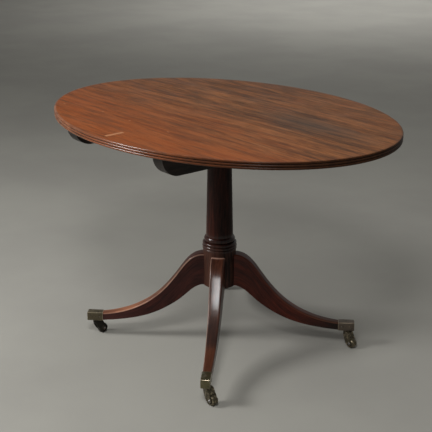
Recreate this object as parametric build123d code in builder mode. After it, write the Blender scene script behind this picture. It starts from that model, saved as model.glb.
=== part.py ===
from build123d import *
import os
from math import cos, radians, sin, sqrt

# A tilt-top breakfast table: an oval top with a reeded edge, tipped up on a block at the head of
# a turned column, which stands on four sabre legs with brass toe caps and casters.
# Millimetres, +Z up. The origin is on the floor below the column, and +X is the oval's long axis.
# The top turns about pins near the back (+Y) side of the block, and its front (-Y) side lifts.

# Fits
seat_gap = 0.3
joint_gap = 0.1
running_fit = 0.05
overrun = 2

# Top
table_height = 720
top_length = 1158
top_width = 853
top_thickness = 21
reed_count = 3
reed_round_share = 0.46
middle_board_width = 284

# Bearers
bearer_centres = 411
bearer_width = 41
bearer_depth = 56
bearer_end_round = 54
bearer_margin = 19
bearer_screw_shares = (-0.40, -0.26, -0.08, 0.08, 0.26, 0.40)
bearer_screw_recess = 28

# Block
block_length = 240
block_thickness = 45
block_side_gap = 0.5
block_chamfer = 2

# Pivot pins
pivot_radius = 5
pivot_reach = 25
pivot_head_radius = 9
pivot_head_height = 2

# Column
drum_bottom = 191
drum_radius = 49.5
drum_top = 304
collar_neck_radius = 43
collar_groove_radius = 47.5
collar_height = 42
collar_reed_radius = 52
stem_foot_radius = 40.5
stem_head_radius = 34
tenon_radius = 25
tenon_slot_offset = 9

# Tenon wedges
wedge_depth = 30
wedge_top_thickness = 2.6
wedge_tip_thickness = 0.8

# Legs
leg_angles = {"right_back": 45, "left_back": 135, "left_front": 225, "right_front": 315}
leg_top_height = 290
leg_root_width = 45
leg_foot_width = 25
leg_edge_round = 4
tongue_top = 262
tongue_depth = 23
tongue_neck_width = 15
tongue_tail_width = 21

# Leg outline: shares of the span from the axis to the cap, and of the rise above the cap's bottom
leg_back_shares = (
    (0.110, 1.000),
    (0.160, 0.997),
    (0.214, 0.966),
    (0.275, 0.888),
    (0.341, 0.755),
    (0.407, 0.618),
    (0.522, 0.425),
    (0.673, 0.262),
    (0.850, 0.155),
    (1.000, 0.112),
)
leg_belly_shares = (
    (0.110, 0.590),
    (0.192, 0.554),
    (0.288, 0.429),
    (0.440, 0.253),
    (0.582, 0.142),
    (0.755, 0.064),
    (1.000, 0.011),
)

# Strap plate
strap_thickness = 2.5
strap_hub_radius = 20
strap_arm_width = 13
strap_arm_reach = 45
strap_screw_circle = 37.5

# Toe caps
foot_reach = 413
cap_length = 49
cap_width = 27.5
cap_height = 27
cap_wall = 1.6
cap_edge_round = 1.2
cap_pin_radius = 1.5
cap_pin_inset = 11

# Casters
caster_height = 52
caster_inset = 24
caster_trail = 25
caster_swivel_angles = {"right_back": 0, "left_back": 200, "left_front": 96, "right_front": 4}
stem_radius = 4
stem_reach = 18
stem_collar_radius = 7.5
stem_collar_height = 1.5
stem_rivet_radius = 6
stem_rivet_height = 1.6
horn_head_radius = 8.5
horn_head_height = 6
horn_arm_thickness = 1.6
horn_eye_radius = 6
wheel_radius = 15.5
wheel_end_radius = 12.8
wheel_width = 19.5
wheel_tread = 6
wheel_dish = 1.4
wheel_hub_radius = 5.5
wheel_rim_width = 2.6
wheel_crown_share = 0.2
wheel_side_gap = 0.4
wheel_clearance = 1.6
axle_radius = 3
axle_head_radius = 4.4
axle_head_height = 1.1

# Catch under the top
catch_gap = 2
catch_length = 34
catch_base_width = 46
catch_base_thickness = 2
catch_wall = 1.8
catch_screw_inset = 5
bolt_width = 14
bolt_height = 7
bolt_tail = 10
bolt_setback = 0.5
bolt_travel = 10
bolt_round = 2
knob_radius = 6
knob_stem_radius = 2.5
knob_stem_length = 4.5
leaf_thickness = 0.5
leaf_rise = 1.6
leaf_width = 8
leaf_length = 28

# Keeper on the block
keeper_width = 42
keeper_height = 12
keeper_thickness = 1.5
keeper_screw_centres = 32
mortise_end_gap = 1.5

# Screws: the head's radius and height and the slot's width and depth are shares of the shank's radius
screw_head_share = 2.0
screw_head_height_share = 1.15
screw_slot_share = 0.45
screw_slot_depth_share = 0.5
long_screw_radius = 2.5
long_screw_length = 38
plate_screw_radius = 1.5
plate_screw_length = 12
strap_screw_radius = 2
strap_screw_length = 22

# Heights and places that follow
underside = table_height - top_thickness
block_top = underside - seat_gap
block_bottom = block_top - block_thickness
block_width = bearer_centres - bearer_width - 2 * block_side_gap
pivot_z = block_top - block_thickness / 2
pivot_y = block_length / 2 - block_thickness / 2
cap_bottom = caster_height
cap_mouth = foot_reach - cap_length
leg_rise = leg_top_height - cap_bottom
bolt_top = underside - catch_base_thickness - leaf_rise - seat_gap
bolt_middle = bolt_top - bolt_height / 2
catch_front = -block_length / 2 - catch_gap
catch_middle = catch_front - catch_length / 2

os.makedirs("parts", exist_ok=True)


def save(piece, name):
    """Label a finished piece and write its file."""
    piece.part.label = name
    export_step(piece.part, f"parts/{name}.step")


def radial_plane(angle):
    """The upright plane through the column's axis whose X points outwards at an angle."""
    outwards = (cos(radians(angle)), sin(radians(angle)), 0)
    across = (sin(radians(angle)), -cos(radians(angle)), 0)
    return Plane(origin=(0, 0, 0), x_dir=outwards, z_dir=across)


def plan_plane(angle, height):
    """The level plane at a height whose X points outwards at an angle."""
    outwards = (cos(radians(angle)), sin(radians(angle)), 0)
    return Plane(origin=(0, 0, height), x_dir=outwards, z_dir=(0, 0, 1))


def make_screw(radius, length):
    """A slotted countersunk wood screw, its head's face at the origin and its point down."""
    head = screw_head_share * radius
    neck = -screw_head_height_share * radius
    with BuildPart() as screw:
        with BuildSketch(Plane.XZ):
            with BuildLine():
                Polyline(
                    (0, 0),
                    (head, 0),
                    (radius, neck),
                    (radius, 2 * radius - length),
                    (0, -length),
                    close=True,
                )
            make_face()
        revolve(axis=Axis.Z)
        with BuildSketch(Plane.XY):
            Rectangle(2 * head + overrun, screw_slot_share * radius)
        extrude(amount=-screw_slot_depth_share * radius, mode=Mode.SUBTRACT)
    return screw.part


def make_screw_cutter(radius, length):
    """The hole for such a screw, with its countersink, widened by the joint gap."""
    head = screw_head_share * radius + joint_gap
    shank = radius + joint_gap
    neck = -screw_head_height_share * radius
    with BuildPart() as cutter:
        with BuildSketch(Plane.XZ):
            with BuildLine():
                Polyline((0, overrun), (head, overrun), (head, 0), (shank, neck))
                Polyline((shank, neck), (shank, 2 * radius - length), (0, -length - joint_gap), (0, overrun))
            make_face()
        revolve(axis=Axis.Z)
    return cutter.part


# Screw places, each with its head's face outwards
bearer_x = bearer_centres / 2
bearer_outer_share = (bearer_x + bearer_width / 2) / (top_length / 2)
bearer_length = top_width * sqrt(1 - bearer_outer_share**2) - 2 * bearer_margin
bearer_screw_z = underside - bearer_depth + bearer_screw_recess
bearer_screw_planes = [
    Plane(origin=(side * bearer_x, share * bearer_length, bearer_screw_z), z_dir=(0, 0, -1))
    for side in (-1, 1)
    for share in bearer_screw_shares
]
catch_screw_planes = [
    Plane(
        origin=(
            x_side * (catch_base_width / 2 - catch_screw_inset),
            catch_middle + y_side * (catch_length / 2 - catch_screw_inset),
            underside - catch_base_thickness,
        ),
        z_dir=(0, 0, -1),
    )
    for x_side in (-1, 1)
    for y_side in (-1, 1)
]
keeper_screw_planes = [
    Plane(origin=(side * keeper_screw_centres / 2, -block_length / 2, bolt_middle), z_dir=(0, -1, 0))
    for side in (-1, 1)
]
strap_bottom = drum_bottom - strap_thickness
strap_screw_planes = [Plane(origin=(0, 0, strap_bottom), z_dir=(0, 0, -1))]
for angle in leg_angles.values():
    on_circle = plan_plane(angle, strap_bottom).from_local_coords(Vector(strap_screw_circle, 0, 0))
    strap_screw_planes.append(Plane(origin=on_circle, z_dir=(0, 0, -1)))

# Top: stacked oval layers with rounded edges make the reeds
reed_height = top_thickness / reed_count
with BuildPart() as reed_layer:
    with BuildSketch(Plane.XY.offset(underside)):
        Ellipse(top_length / 2, top_width / 2)
    extrude(amount=reed_height)
    fillet(reed_layer.edges(), reed_round_share * reed_height)

with BuildPart() as top_blank:
    with Locations(*[(0, 0, layer * reed_height) for layer in range(reed_count)]):
        add(reed_layer.part)
    with Locations(*bearer_screw_planes):
        add(make_screw_cutter(long_screw_radius, long_screw_length), mode=Mode.SUBTRACT)
    with Locations(*catch_screw_planes):
        add(make_screw_cutter(plate_screw_radius, plate_screw_length), mode=Mode.SUBTRACT)

# Boards: the top is glued up from three, side by side
seam = middle_board_width / 2
rim = top_width / 2 + overrun
board_spans = {
    "top_board_front": (-rim, -seam),
    "top_board_middle": (-seam, seam),
    "top_board_back": (seam, rim),
}
for name, (low, high) in board_spans.items():
    with BuildPart() as board:
        add(top_blank.part)
        with BuildSketch(Plane.XY.offset(underside)):
            with Locations((0, (low + high) / 2)):
                Rectangle(top_length + 2 * overrun, high - low)
        extrude(amount=top_thickness, mode=Mode.INTERSECT)
    save(board, name)


def pivot_plane(side):
    """The plane of a bearer's outer face, its origin on the pivots' axis."""
    return Plane(origin=(side * (bearer_x + bearer_width / 2), pivot_y, pivot_z), z_dir=(side, 0, 0))


# Bearers: rails across the grain with quarter-round ends
for name, side in (("bearer_left", -1), ("bearer_right", 1)):
    with BuildPart() as bearer:
        with BuildSketch(Plane.YZ.offset(side * bearer_x)):
            with Locations((0, underside - bearer_depth / 2)):
                Rectangle(bearer_length, bearer_depth)
        extrude(amount=bearer_width / 2, both=True)
        fillet(bearer.edges().filter_by(Axis.X).group_by(Axis.Z)[0], bearer_end_round)
        with Locations(*bearer_screw_planes):
            add(make_screw_cutter(long_screw_radius, long_screw_length), mode=Mode.SUBTRACT)
        with Locations(*[plane.offset(bearer_screw_recess) for plane in bearer_screw_planes]):
            Hole(screw_head_share * long_screw_radius + joint_gap, bearer_screw_recess)
        pin_hole = pivot_radius + joint_gap
        with Locations(pivot_plane(side)):
            head_hole = pivot_head_radius + joint_gap
            CounterBoreHole(pin_hole, head_hole, pivot_head_height, bearer_width + overrun)
    save(bearer, name)

with BuildPart() as bearer_screws:
    with Locations(*bearer_screw_planes):
        add(make_screw(long_screw_radius, long_screw_length))
save(bearer_screws, "bearer_screws")

# Pivot pins: fast in the bearers, free in the block
for name, side in (("pivot_pin_left", -1), ("pivot_pin_right", 1)):
    outer_face = pivot_plane(side)
    with BuildPart() as pivot_pin:
        with BuildSketch(outer_face):
            Circle(pivot_radius)
        extrude(amount=-(bearer_width + block_side_gap + pivot_reach))
        with BuildSketch(outer_face):
            Circle(pivot_head_radius)
        extrude(amount=-pivot_head_height)
        with BuildSketch(outer_face):
            Rectangle(2 * pivot_head_radius + overrun, pivot_head_height / 2)
        extrude(amount=-pivot_head_height / 2, mode=Mode.SUBTRACT)
    save(pivot_pin, name)

# Block: its back edge is rounded about the pivots, so that the top can turn on it
with BuildPart() as block:
    with BuildSketch(Plane.YZ):
        with BuildLine():
            front_foot = (-block_length / 2, block_bottom)
            front_head = (-block_length / 2, block_top)
            turn_start = (pivot_y, block_top)
            turn_end = (block_length / 2, pivot_z)
            Polyline(turn_end, (block_length / 2, block_bottom), front_foot, front_head, turn_start)
            RadiusArc(turn_start, turn_end, block_thickness / 2)
        make_face()
    extrude(amount=block_width / 2, both=True)
    chamfer(block.faces().sort_by(Axis.Z)[0].edges(), block_chamfer)
    with Locations((0, 0, block_top)):
        Hole(tenon_radius + joint_gap, block_thickness + overrun)
    for side in (-1, 1):
        with Locations(Plane(origin=(side * block_width / 2, pivot_y, pivot_z), z_dir=(side, 0, 0))):
            Hole(pivot_radius + running_fit, pivot_reach + overrun)
    front_plane = Plane(origin=(0, -block_length / 2, bolt_middle), x_dir=(1, 0, 0), z_dir=(0, -1, 0))
    with BuildSketch(front_plane):
        Rectangle(keeper_width + 2 * joint_gap, keeper_height + 2 * joint_gap)
    extrude(amount=-keeper_thickness, mode=Mode.SUBTRACT)
    with BuildSketch(front_plane):
        Rectangle(bolt_width + 2 * seat_gap, bolt_height + 2 * seat_gap)
    extrude(amount=-(bolt_travel - catch_gap - bolt_setback + mortise_end_gap), mode=Mode.SUBTRACT)
    with Locations(*keeper_screw_planes):
        add(make_screw_cutter(plate_screw_radius, plate_screw_length), mode=Mode.SUBTRACT)
save(block, "block")

# Tenon wedges: driven into saw cuts across the tenon
wedge_places = (-tenon_slot_offset, tenon_slot_offset)
with BuildPart() as wedge_blanks:
    for place in wedge_places:
        with BuildSketch(Plane.XZ):
            with BuildLine():
                Polyline(
                    (place - wedge_top_thickness / 2, block_top),
                    (place + wedge_top_thickness / 2, block_top),
                    (place + wedge_tip_thickness / 2, block_top - wedge_depth),
                    (place - wedge_tip_thickness / 2, block_top - wedge_depth),
                    close=True,
                )
            make_face()
        extrude(amount=tenon_radius + overrun, both=True)

with BuildPart() as tenon_wedges:
    add(wedge_blanks.part)
    with BuildSketch(Plane.XY.offset(block_top)):
        Circle(tenon_radius)
    extrude(amount=-wedge_depth, mode=Mode.INTERSECT)
save(tenon_wedges, "tenon_wedges")


def make_tongue(angle, grow):
    """A leg's dovetail tongue at an angle, widened by a gap all round for its socket."""
    inner = drum_radius - tongue_depth - grow
    outer = drum_radius + overrun
    with BuildPart() as tongue:
        with BuildSketch(plan_plane(angle, drum_bottom)):
            with BuildLine():
                Polyline(
                    (inner, -tongue_tail_width / 2 - grow),
                    (outer, -tongue_neck_width / 2 - grow),
                    (outer, tongue_neck_width / 2 + grow),
                    (inner, tongue_tail_width / 2 + grow),
                    close=True,
                )
            make_face()
        extrude(amount=tongue_top + grow - drum_bottom)
    return tongue.part


# Column: the collar's bead and reeds are shares of its height, from the drum up
bead_shares = (0.60, 1.00)
reed_shares = (0.00, 0.15, 0.37, 0.58)
reed_radius_shares = (0.985, 1.00, 0.98)
bead_radius = collar_reed_radius - (collar_reed_radius - stem_foot_radius) / 2
with BuildPart() as column:
    with BuildSketch(Plane.XZ):
        with BuildLine():
            Polyline((drum_radius, drum_top), (drum_radius, drum_bottom), (0, drum_bottom))
            tenon_head = (tenon_radius, block_top)
            tenon_foot = (tenon_radius, block_bottom)
            Polyline((0, drum_bottom), (0, block_top), tenon_head, tenon_foot)
            bead_foot = (collar_neck_radius, drum_top + bead_shares[0] * collar_height)
            bead_head = (stem_foot_radius, drum_top + bead_shares[1] * collar_height)
            bead_middle = drum_top + collar_height * (bead_shares[0] + bead_shares[1]) / 2
            Polyline(tenon_foot, (stem_head_radius, block_bottom), bead_head)
            ThreePointArc(bead_head, (bead_radius, bead_middle), bead_foot)
            levels = [drum_top + share * collar_height for share in reed_shares]
            grooves = [drum_radius, collar_groove_radius, collar_groove_radius, collar_neck_radius]
            Line(bead_foot, (grooves[-1], levels[-1]))
            for low in range(len(levels) - 1):
                radius = collar_reed_radius * reed_radius_shares[low]
                middle = (levels[low] + levels[low + 1]) / 2
                foot = (grooves[low], levels[low])
                head = (grooves[low + 1], levels[low + 1])
                ThreePointArc(foot, (radius, middle), head)
        make_face()
    revolve(axis=Axis.Z)
    add(wedge_blanks.part, mode=Mode.SUBTRACT)
    for angle in leg_angles.values():
        add(make_tongue(angle, joint_gap), mode=Mode.SUBTRACT)
    with Locations(*strap_screw_planes[:1]):
        add(make_screw_cutter(strap_screw_radius, strap_screw_length), mode=Mode.SUBTRACT)
save(column, "column")


def leg_point(shares):
    """A point of the leg's outline, outwards and up."""
    return (shares[0] * cap_mouth, cap_bottom + shares[1] * leg_rise)


# Legs: a curved blank, tapered in plan, with a dovetail tongue and a tang for the toe cap
pin_reach = foot_reach - caster_inset
for index, (corner, angle) in enumerate(leg_angles.items()):
    with BuildPart() as leg:
        with BuildSketch(radial_plane(angle).offset(-leg_root_width / 2)):
            with BuildLine():
                back = Spline(*[leg_point(shares) for shares in leg_back_shares])
                belly = Spline(*[leg_point(shares) for shares in leg_belly_shares])
                Line(back @ 0, belly @ 0)
                Line(back @ 1, belly @ 1)
            make_face()
        extrude(amount=leg_root_width)
        with BuildSketch(plan_plane(angle, 0)):
            with BuildLine():
                Polyline(
                    (0, -leg_root_width / 2),
                    (cap_mouth, -leg_foot_width / 2),
                    (cap_mouth, leg_foot_width / 2),
                    (0, leg_root_width / 2),
                    close=True,
                )
            make_face()
        extrude(amount=leg_top_height + overrun, mode=Mode.INTERSECT)
        long_edges = leg.edges().sort_by(SortBy.LENGTH)[-4:]
        fillet(long_edges.group_by(Axis.Z)[-1], leg_edge_round)
        with BuildSketch(Plane.XY):
            Circle(drum_radius + joint_gap)
        extrude(amount=leg_top_height + overrun, mode=Mode.SUBTRACT)
        add(make_tongue(angle, 0))
        tang_height = cap_height - 2 * cap_wall - 2 * joint_gap
        with BuildSketch(plan_plane(angle, cap_bottom + cap_wall + joint_gap)):
            tang_length = cap_length - cap_wall - joint_gap
            with Locations((cap_mouth + tang_length / 2, 0)):
                Rectangle(tang_length, cap_width - 2 * cap_wall - 2 * joint_gap)
        extrude(amount=tang_height)
        with BuildSketch(plan_plane(angle, cap_bottom)):
            with Locations((pin_reach, 0)):
                Circle(stem_radius + joint_gap)
        extrude(amount=stem_reach + joint_gap, mode=Mode.SUBTRACT)
        with BuildSketch(radial_plane(angle)):
            with Locations((cap_mouth + cap_pin_inset, cap_bottom + cap_height / 2)):
                Circle(cap_pin_radius + joint_gap)
        extrude(amount=cap_width, both=True, mode=Mode.SUBTRACT)
        with Locations(strap_screw_planes[index + 1]):
            add(make_screw_cutter(strap_screw_radius, strap_screw_length), mode=Mode.SUBTRACT)
    save(leg, f"leg_{corner}")

# Strap plate: a four-armed iron plate that keeps the tongues from sliding down
with BuildPart() as strap_plate:
    with BuildSketch(Plane.XY.offset(drum_bottom)):
        Circle(strap_hub_radius)
    extrude(amount=-strap_thickness)
    for angle in leg_angles.values():
        with BuildSketch(plan_plane(angle, drum_bottom)):
            with Locations((strap_arm_reach / 2, 0)):
                Rectangle(strap_arm_reach, strap_arm_width)
        extrude(amount=-strap_thickness)
    with Locations(*strap_screw_planes):
        add(make_screw_cutter(strap_screw_radius, strap_screw_length), mode=Mode.SUBTRACT)
save(strap_plate, "strap_plate")

with BuildPart() as strap_screws:
    with Locations(*strap_screw_planes):
        add(make_screw(strap_screw_radius, strap_screw_length))
save(strap_screws, "strap_screws")

# Toe caps: brass boxes over the feet, open towards the leg
for corner, angle in leg_angles.items():
    outwards = Axis((0, 0, 0), (cos(radians(angle)), sin(radians(angle)), 0))
    with BuildPart() as cap:
        with BuildSketch(plan_plane(angle, cap_bottom)):
            with Locations((cap_mouth + cap_length / 2, 0)):
                Rectangle(cap_length, cap_width)
        extrude(amount=cap_height)
        end_edges = cap.faces().sort_by(outwards)[-1].edges()
        upper_edges = cap.faces().sort_by(Axis.Z)[-1].edges()
        fillet(end_edges + upper_edges, cap_edge_round)
        with BuildSketch(plan_plane(angle, cap_bottom + cap_wall)):
            with Locations((cap_mouth + (cap_length - cap_wall - overrun) / 2, 0)):
                Rectangle(cap_length - cap_wall + overrun, cap_width - 2 * cap_wall)
        extrude(amount=cap_height - 2 * cap_wall, mode=Mode.SUBTRACT)
        with BuildSketch(plan_plane(angle, cap_bottom)):
            with Locations((pin_reach, 0)):
                Circle(stem_radius + joint_gap)
        extrude(amount=cap_wall + overrun, mode=Mode.SUBTRACT)
        with BuildSketch(radial_plane(angle)):
            with Locations((cap_mouth + cap_pin_inset, cap_bottom + cap_height / 2)):
                Circle(cap_pin_radius + joint_gap)
        extrude(amount=cap_width, both=True, mode=Mode.SUBTRACT)
    save(cap, f"toe_cap_{corner}")

with BuildPart() as cap_pins:
    for angle in leg_angles.values():
        with BuildSketch(radial_plane(angle)):
            with Locations((cap_mouth + cap_pin_inset, cap_bottom + cap_height / 2)):
                Circle(cap_pin_radius)
        extrude(amount=cap_width / 2, both=True)
save(cap_pins, "cap_pins")


def caster_frame(corner):
    """The upright and the level plane of a caster, on the floor below its stem, X trailing."""
    foot = plan_plane(leg_angles[corner], 0).from_local_coords(Vector(pin_reach, 0, 0))
    turn = radians(caster_swivel_angles[corner])
    trailing = (cos(turn), sin(turn), 0)
    upright = Plane(origin=foot, x_dir=trailing, z_dir=(sin(turn), -cos(turn), 0))
    level = Plane(origin=foot, x_dir=trailing, z_dir=(0, 0, 1))
    return upright, level


# Casters: a stem riveted in the cap, a forked horn that swivels on it, an axle and a barrel wheel
collar_bottom = caster_height - stem_collar_height
horn_top = collar_bottom - seat_gap
horn_bottom = horn_top - horn_head_height
rivet_top = horn_bottom - seat_gap
horn_inner = wheel_width / 2 + wheel_side_gap
horn_outer = horn_inner + horn_arm_thickness
for corner in leg_angles:
    upright, level = caster_frame(corner)
    swivel_axis = Axis(upright.origin, (0, 0, 1))

    with BuildPart() as stem:
        with BuildSketch(upright):
            with BuildLine():
                Polyline(
                    (0, caster_height + stem_reach),
                    (stem_radius, caster_height + stem_reach),
                    (stem_radius, caster_height),
                    (stem_collar_radius, caster_height),
                    (stem_collar_radius, collar_bottom),
                    (stem_radius, collar_bottom),
                    (stem_radius, rivet_top),
                    (stem_rivet_radius, rivet_top),
                    (stem_radius, rivet_top - stem_rivet_height),
                    (0, rivet_top - stem_rivet_height),
                    close=True,
                )
            make_face()
        revolve(axis=swivel_axis)
    save(stem, f"caster_stem_{corner}")

    with BuildPart() as horn:
        with BuildSketch(upright.offset(-horn_outer)):
            with BuildLine():
                eye_low = (caster_trail, wheel_radius - horn_eye_radius)
                eye_high = (caster_trail + horn_eye_radius, wheel_radius)
                throat = (-horn_head_radius / 2, horn_bottom - horn_head_height)
                head_back = (-horn_head_radius, horn_bottom)
                Polyline(throat, head_back, (-horn_head_radius, horn_top), (horn_head_radius, horn_top))
                Spline(
                    (horn_head_radius, horn_top),
                    (caster_trail - horn_eye_radius / 2, horn_bottom - horn_head_height),
                    eye_high,
                    tangents=[(1, 0), (0, -1)],
                )
                RadiusArc(eye_high, eye_low, horn_eye_radius)
                Spline(eye_low, throat, tangents=[(-1, 0), (-1, 2)])
            make_face()
        extrude(amount=2 * horn_outer)
        with BuildSketch(level):
            with BuildLine():
                shoulder = caster_trail / 2
                Polyline(
                    (0, -horn_head_radius),
                    (shoulder, -horn_outer),
                    (caster_trail + 2 * horn_eye_radius, -horn_outer),
                    (caster_trail + 2 * horn_eye_radius, horn_outer),
                    (shoulder, horn_outer),
                    (0, horn_head_radius),
                )
                ThreePointArc((0, horn_head_radius), (-horn_head_radius, 0), (0, -horn_head_radius))
            make_face()
        extrude(amount=caster_height, mode=Mode.INTERSECT)
        with BuildSketch(upright):
            with Locations((caster_trail, wheel_radius)):
                Circle(wheel_radius + wheel_clearance)
        extrude(amount=horn_inner, both=True, mode=Mode.SUBTRACT)
        with BuildSketch(level):
            Circle(stem_rivet_radius + seat_gap)
        extrude(amount=horn_bottom, mode=Mode.SUBTRACT)
        with BuildSketch(level):
            Circle(stem_radius + running_fit)
        extrude(amount=caster_height, mode=Mode.SUBTRACT)
        with BuildSketch(upright):
            with Locations((caster_trail, wheel_radius)):
                Circle(axle_radius + joint_gap)
        extrude(amount=horn_outer + overrun, both=True, mode=Mode.SUBTRACT)
    save(horn, f"caster_horn_{corner}")

    wheel_centre = upright.from_local_coords(Vector(caster_trail, wheel_radius, 0))
    hub_plane = Plane(origin=wheel_centre, x_dir=level.x_dir, z_dir=(0, 0, 1))
    axle_axis = Axis(hub_plane.origin, hub_plane.y_dir)
    with BuildPart() as axle:
        with BuildSketch(hub_plane):
            with BuildLine():
                Polyline(
                    (0, -horn_outer - axle_head_height),
                    (axle_radius, -horn_outer - axle_head_height),
                    (axle_head_radius, -horn_outer),
                    (axle_radius, -horn_outer),
                    (axle_radius, horn_outer),
                    (axle_head_radius, horn_outer),
                    (axle_radius, horn_outer + axle_head_height),
                    (0, horn_outer + axle_head_height),
                    close=True,
                )
            make_face()
        revolve(axis=axle_axis)
    save(axle, f"caster_axle_{corner}")

    with BuildPart() as wheel:
        with BuildSketch(hub_plane):
            bore = axle_radius + running_fit
            side = wheel_width / 2
            dish = side - wheel_dish
            rim = wheel_end_radius - wheel_rim_width
            crown = wheel_crown_share * (wheel_radius - wheel_end_radius)
            bulge = (wheel_radius + wheel_end_radius) / 2 + crown
            bulge_side = (side + wheel_tread / 2) / 2
            tread = wheel_tread / 2
            with BuildLine():
                Polyline(
                    (wheel_end_radius, -side),
                    (rim, -side),
                    (rim, -dish),
                    (wheel_hub_radius, -dish),
                    (wheel_hub_radius, -side),
                    (bore, -side),
                    (bore, side),
                    (wheel_hub_radius, side),
                    (wheel_hub_radius, dish),
                    (rim, dish),
                    (rim, side),
                    (wheel_end_radius, side),
                )
                ThreePointArc((wheel_end_radius, side), (bulge, bulge_side), (wheel_radius, tread))
                Line((wheel_radius, tread), (wheel_radius, -tread))
                ThreePointArc((wheel_radius, -tread), (bulge, -bulge_side), (wheel_end_radius, -side))
            make_face()
        revolve(axis=axle_axis)
    save(wheel, f"caster_wheel_{corner}")

# Catch case: a base plate under the top with a channel for the bolt
channel_width = bolt_width + 2 * seat_gap
channel_depth = leaf_rise + bolt_height + 2 * seat_gap
case_floor = underside - catch_base_thickness - channel_depth
knob_y = catch_front - catch_length / 2 - bolt_travel / 2
with BuildPart() as catch_case:
    with BuildSketch(Plane.XY.offset(underside)):
        with Locations((0, catch_middle)):
            Rectangle(catch_base_width, catch_length)
    extrude(amount=-catch_base_thickness)
    with BuildSketch(Plane.XY.offset(underside - catch_base_thickness)):
        with Locations((0, catch_middle)):
            Rectangle(channel_width + 2 * catch_wall, catch_length)
            Rectangle(channel_width, catch_length + overrun, mode=Mode.SUBTRACT)
    extrude(amount=-channel_depth)
    with BuildSketch(Plane.XY.offset(case_floor)):
        with Locations((0, catch_middle)):
            Rectangle(channel_width + 2 * catch_wall, catch_length)
        with Locations((0, knob_y + bolt_travel / 2)):
            knob_slot = 2 * (knob_stem_radius + seat_gap)
            SlotCenterToCenter(bolt_travel, knob_slot, rotation=90, mode=Mode.SUBTRACT)
    extrude(amount=-catch_wall)
    with Locations(*catch_screw_planes):
        add(make_screw_cutter(plate_screw_radius, plate_screw_length), mode=Mode.SUBTRACT)
save(catch_case, "catch_case")

with BuildPart() as catch_screws:
    with Locations(*catch_screw_planes):
        add(make_screw(plate_screw_radius, plate_screw_length))
save(catch_screws, "catch_screws")

# Catch bolt: at rest it is drawn back, clear of the block
bolt_tip = catch_front - bolt_setback
bolt_length = catch_length + bolt_tail
with BuildPart() as catch_bolt:
    with BuildSketch(Plane.XY.offset(bolt_top)):
        with Locations((0, bolt_tip - bolt_length / 2)):
            Rectangle(bolt_width, bolt_length)
    extrude(amount=-bolt_height)
    fillet(catch_bolt.faces().sort_by(Axis.Y)[-1].edges().filter_by(Axis.Z), bolt_round)
    with BuildSketch(Plane.XZ.offset(-knob_y)):
        knob_neck = (knob_stem_radius, bolt_top - bolt_height - knob_stem_length)
        knob_z = knob_neck[1] - sqrt(knob_radius**2 - knob_stem_radius**2)
        knob_foot = (0, knob_z - knob_radius)
        with BuildLine():
            Polyline(knob_foot, (0, bolt_middle), (knob_stem_radius, bolt_middle), knob_neck)
            ThreePointArc(knob_neck, (knob_radius, knob_z), knob_foot)
        make_face()
    revolve(axis=Axis((0, knob_y, 0), (0, 0, 1)))
save(catch_bolt, "catch_bolt")

# Leaf: a bowed strip over the bolt that keeps it where it is put
leaf_seat = underside - catch_base_thickness
leaf_bow = leaf_seat - leaf_rise
leaf_ends = (catch_middle - leaf_length / 2, catch_middle + leaf_length / 2)
with BuildPart() as catch_leaf:
    with BuildSketch(Plane.YZ):
        with BuildLine():
            upper = [(y, leaf_seat) for y in leaf_ends]
            lower = [(y, leaf_seat - leaf_thickness) for y in leaf_ends]
            ThreePointArc(upper[0], (catch_middle, leaf_bow + leaf_thickness), upper[1])
            ThreePointArc(lower[0], (catch_middle, leaf_bow), lower[1])
            Line(upper[0], lower[0])
            Line(upper[1], lower[1])
        make_face()
    extrude(amount=leaf_width / 2, both=True)
save(catch_leaf, "catch_leaf")

# Keeper: a plate let into the block's front, with a hole for the bolt
with BuildPart() as keeper_plate:
    with BuildSketch(front_plane):
        Rectangle(keeper_width, keeper_height)
        Rectangle(bolt_width + 2 * seat_gap, bolt_height + 2 * seat_gap, mode=Mode.SUBTRACT)
    extrude(amount=-keeper_thickness)
    with Locations(*keeper_screw_planes):
        add(make_screw_cutter(plate_screw_radius, plate_screw_length), mode=Mode.SUBTRACT)
save(keeper_plate, "keeper_plate")

with BuildPart() as keeper_screws:
    with Locations(*keeper_screw_planes):
        add(make_screw(plate_screw_radius, plate_screw_length))
save(keeper_screws, "keeper_screws")
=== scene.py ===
"""The dressed scene of a tilt-top breakfast table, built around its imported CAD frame.

Lengths are in metres in the frame's own axes: +Z up, +X along the oval's long axis.
"""

import logging
from dataclasses import dataclass, replace
from enum import Enum
from math import atan2, cos, hypot, pi, radians, sin, sqrt, tan
from typing import Callable, Sequence

import bmesh
import bpy
from mathutils import Matrix, Vector
from mathutils.bvhtree import BVHTree


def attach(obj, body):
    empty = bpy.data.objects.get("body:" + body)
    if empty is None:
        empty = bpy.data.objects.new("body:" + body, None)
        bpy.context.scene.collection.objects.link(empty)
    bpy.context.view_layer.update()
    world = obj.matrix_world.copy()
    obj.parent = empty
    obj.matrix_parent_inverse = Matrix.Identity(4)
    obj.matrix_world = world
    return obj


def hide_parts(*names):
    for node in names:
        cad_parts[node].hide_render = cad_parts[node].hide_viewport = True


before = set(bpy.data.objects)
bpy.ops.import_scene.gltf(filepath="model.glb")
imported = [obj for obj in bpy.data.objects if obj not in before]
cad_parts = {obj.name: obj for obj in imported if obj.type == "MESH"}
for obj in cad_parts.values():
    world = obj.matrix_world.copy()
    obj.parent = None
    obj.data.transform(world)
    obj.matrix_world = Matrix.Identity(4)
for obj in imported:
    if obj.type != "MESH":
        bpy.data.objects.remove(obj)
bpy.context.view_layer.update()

log = logging.getLogger("table")

Colour = tuple[float, float, float]
Point = tuple[float, float, float]
Pair = tuple[float, float]
Socket = bpy.types.NodeSocket
Piece = bpy.types.Object


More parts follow.
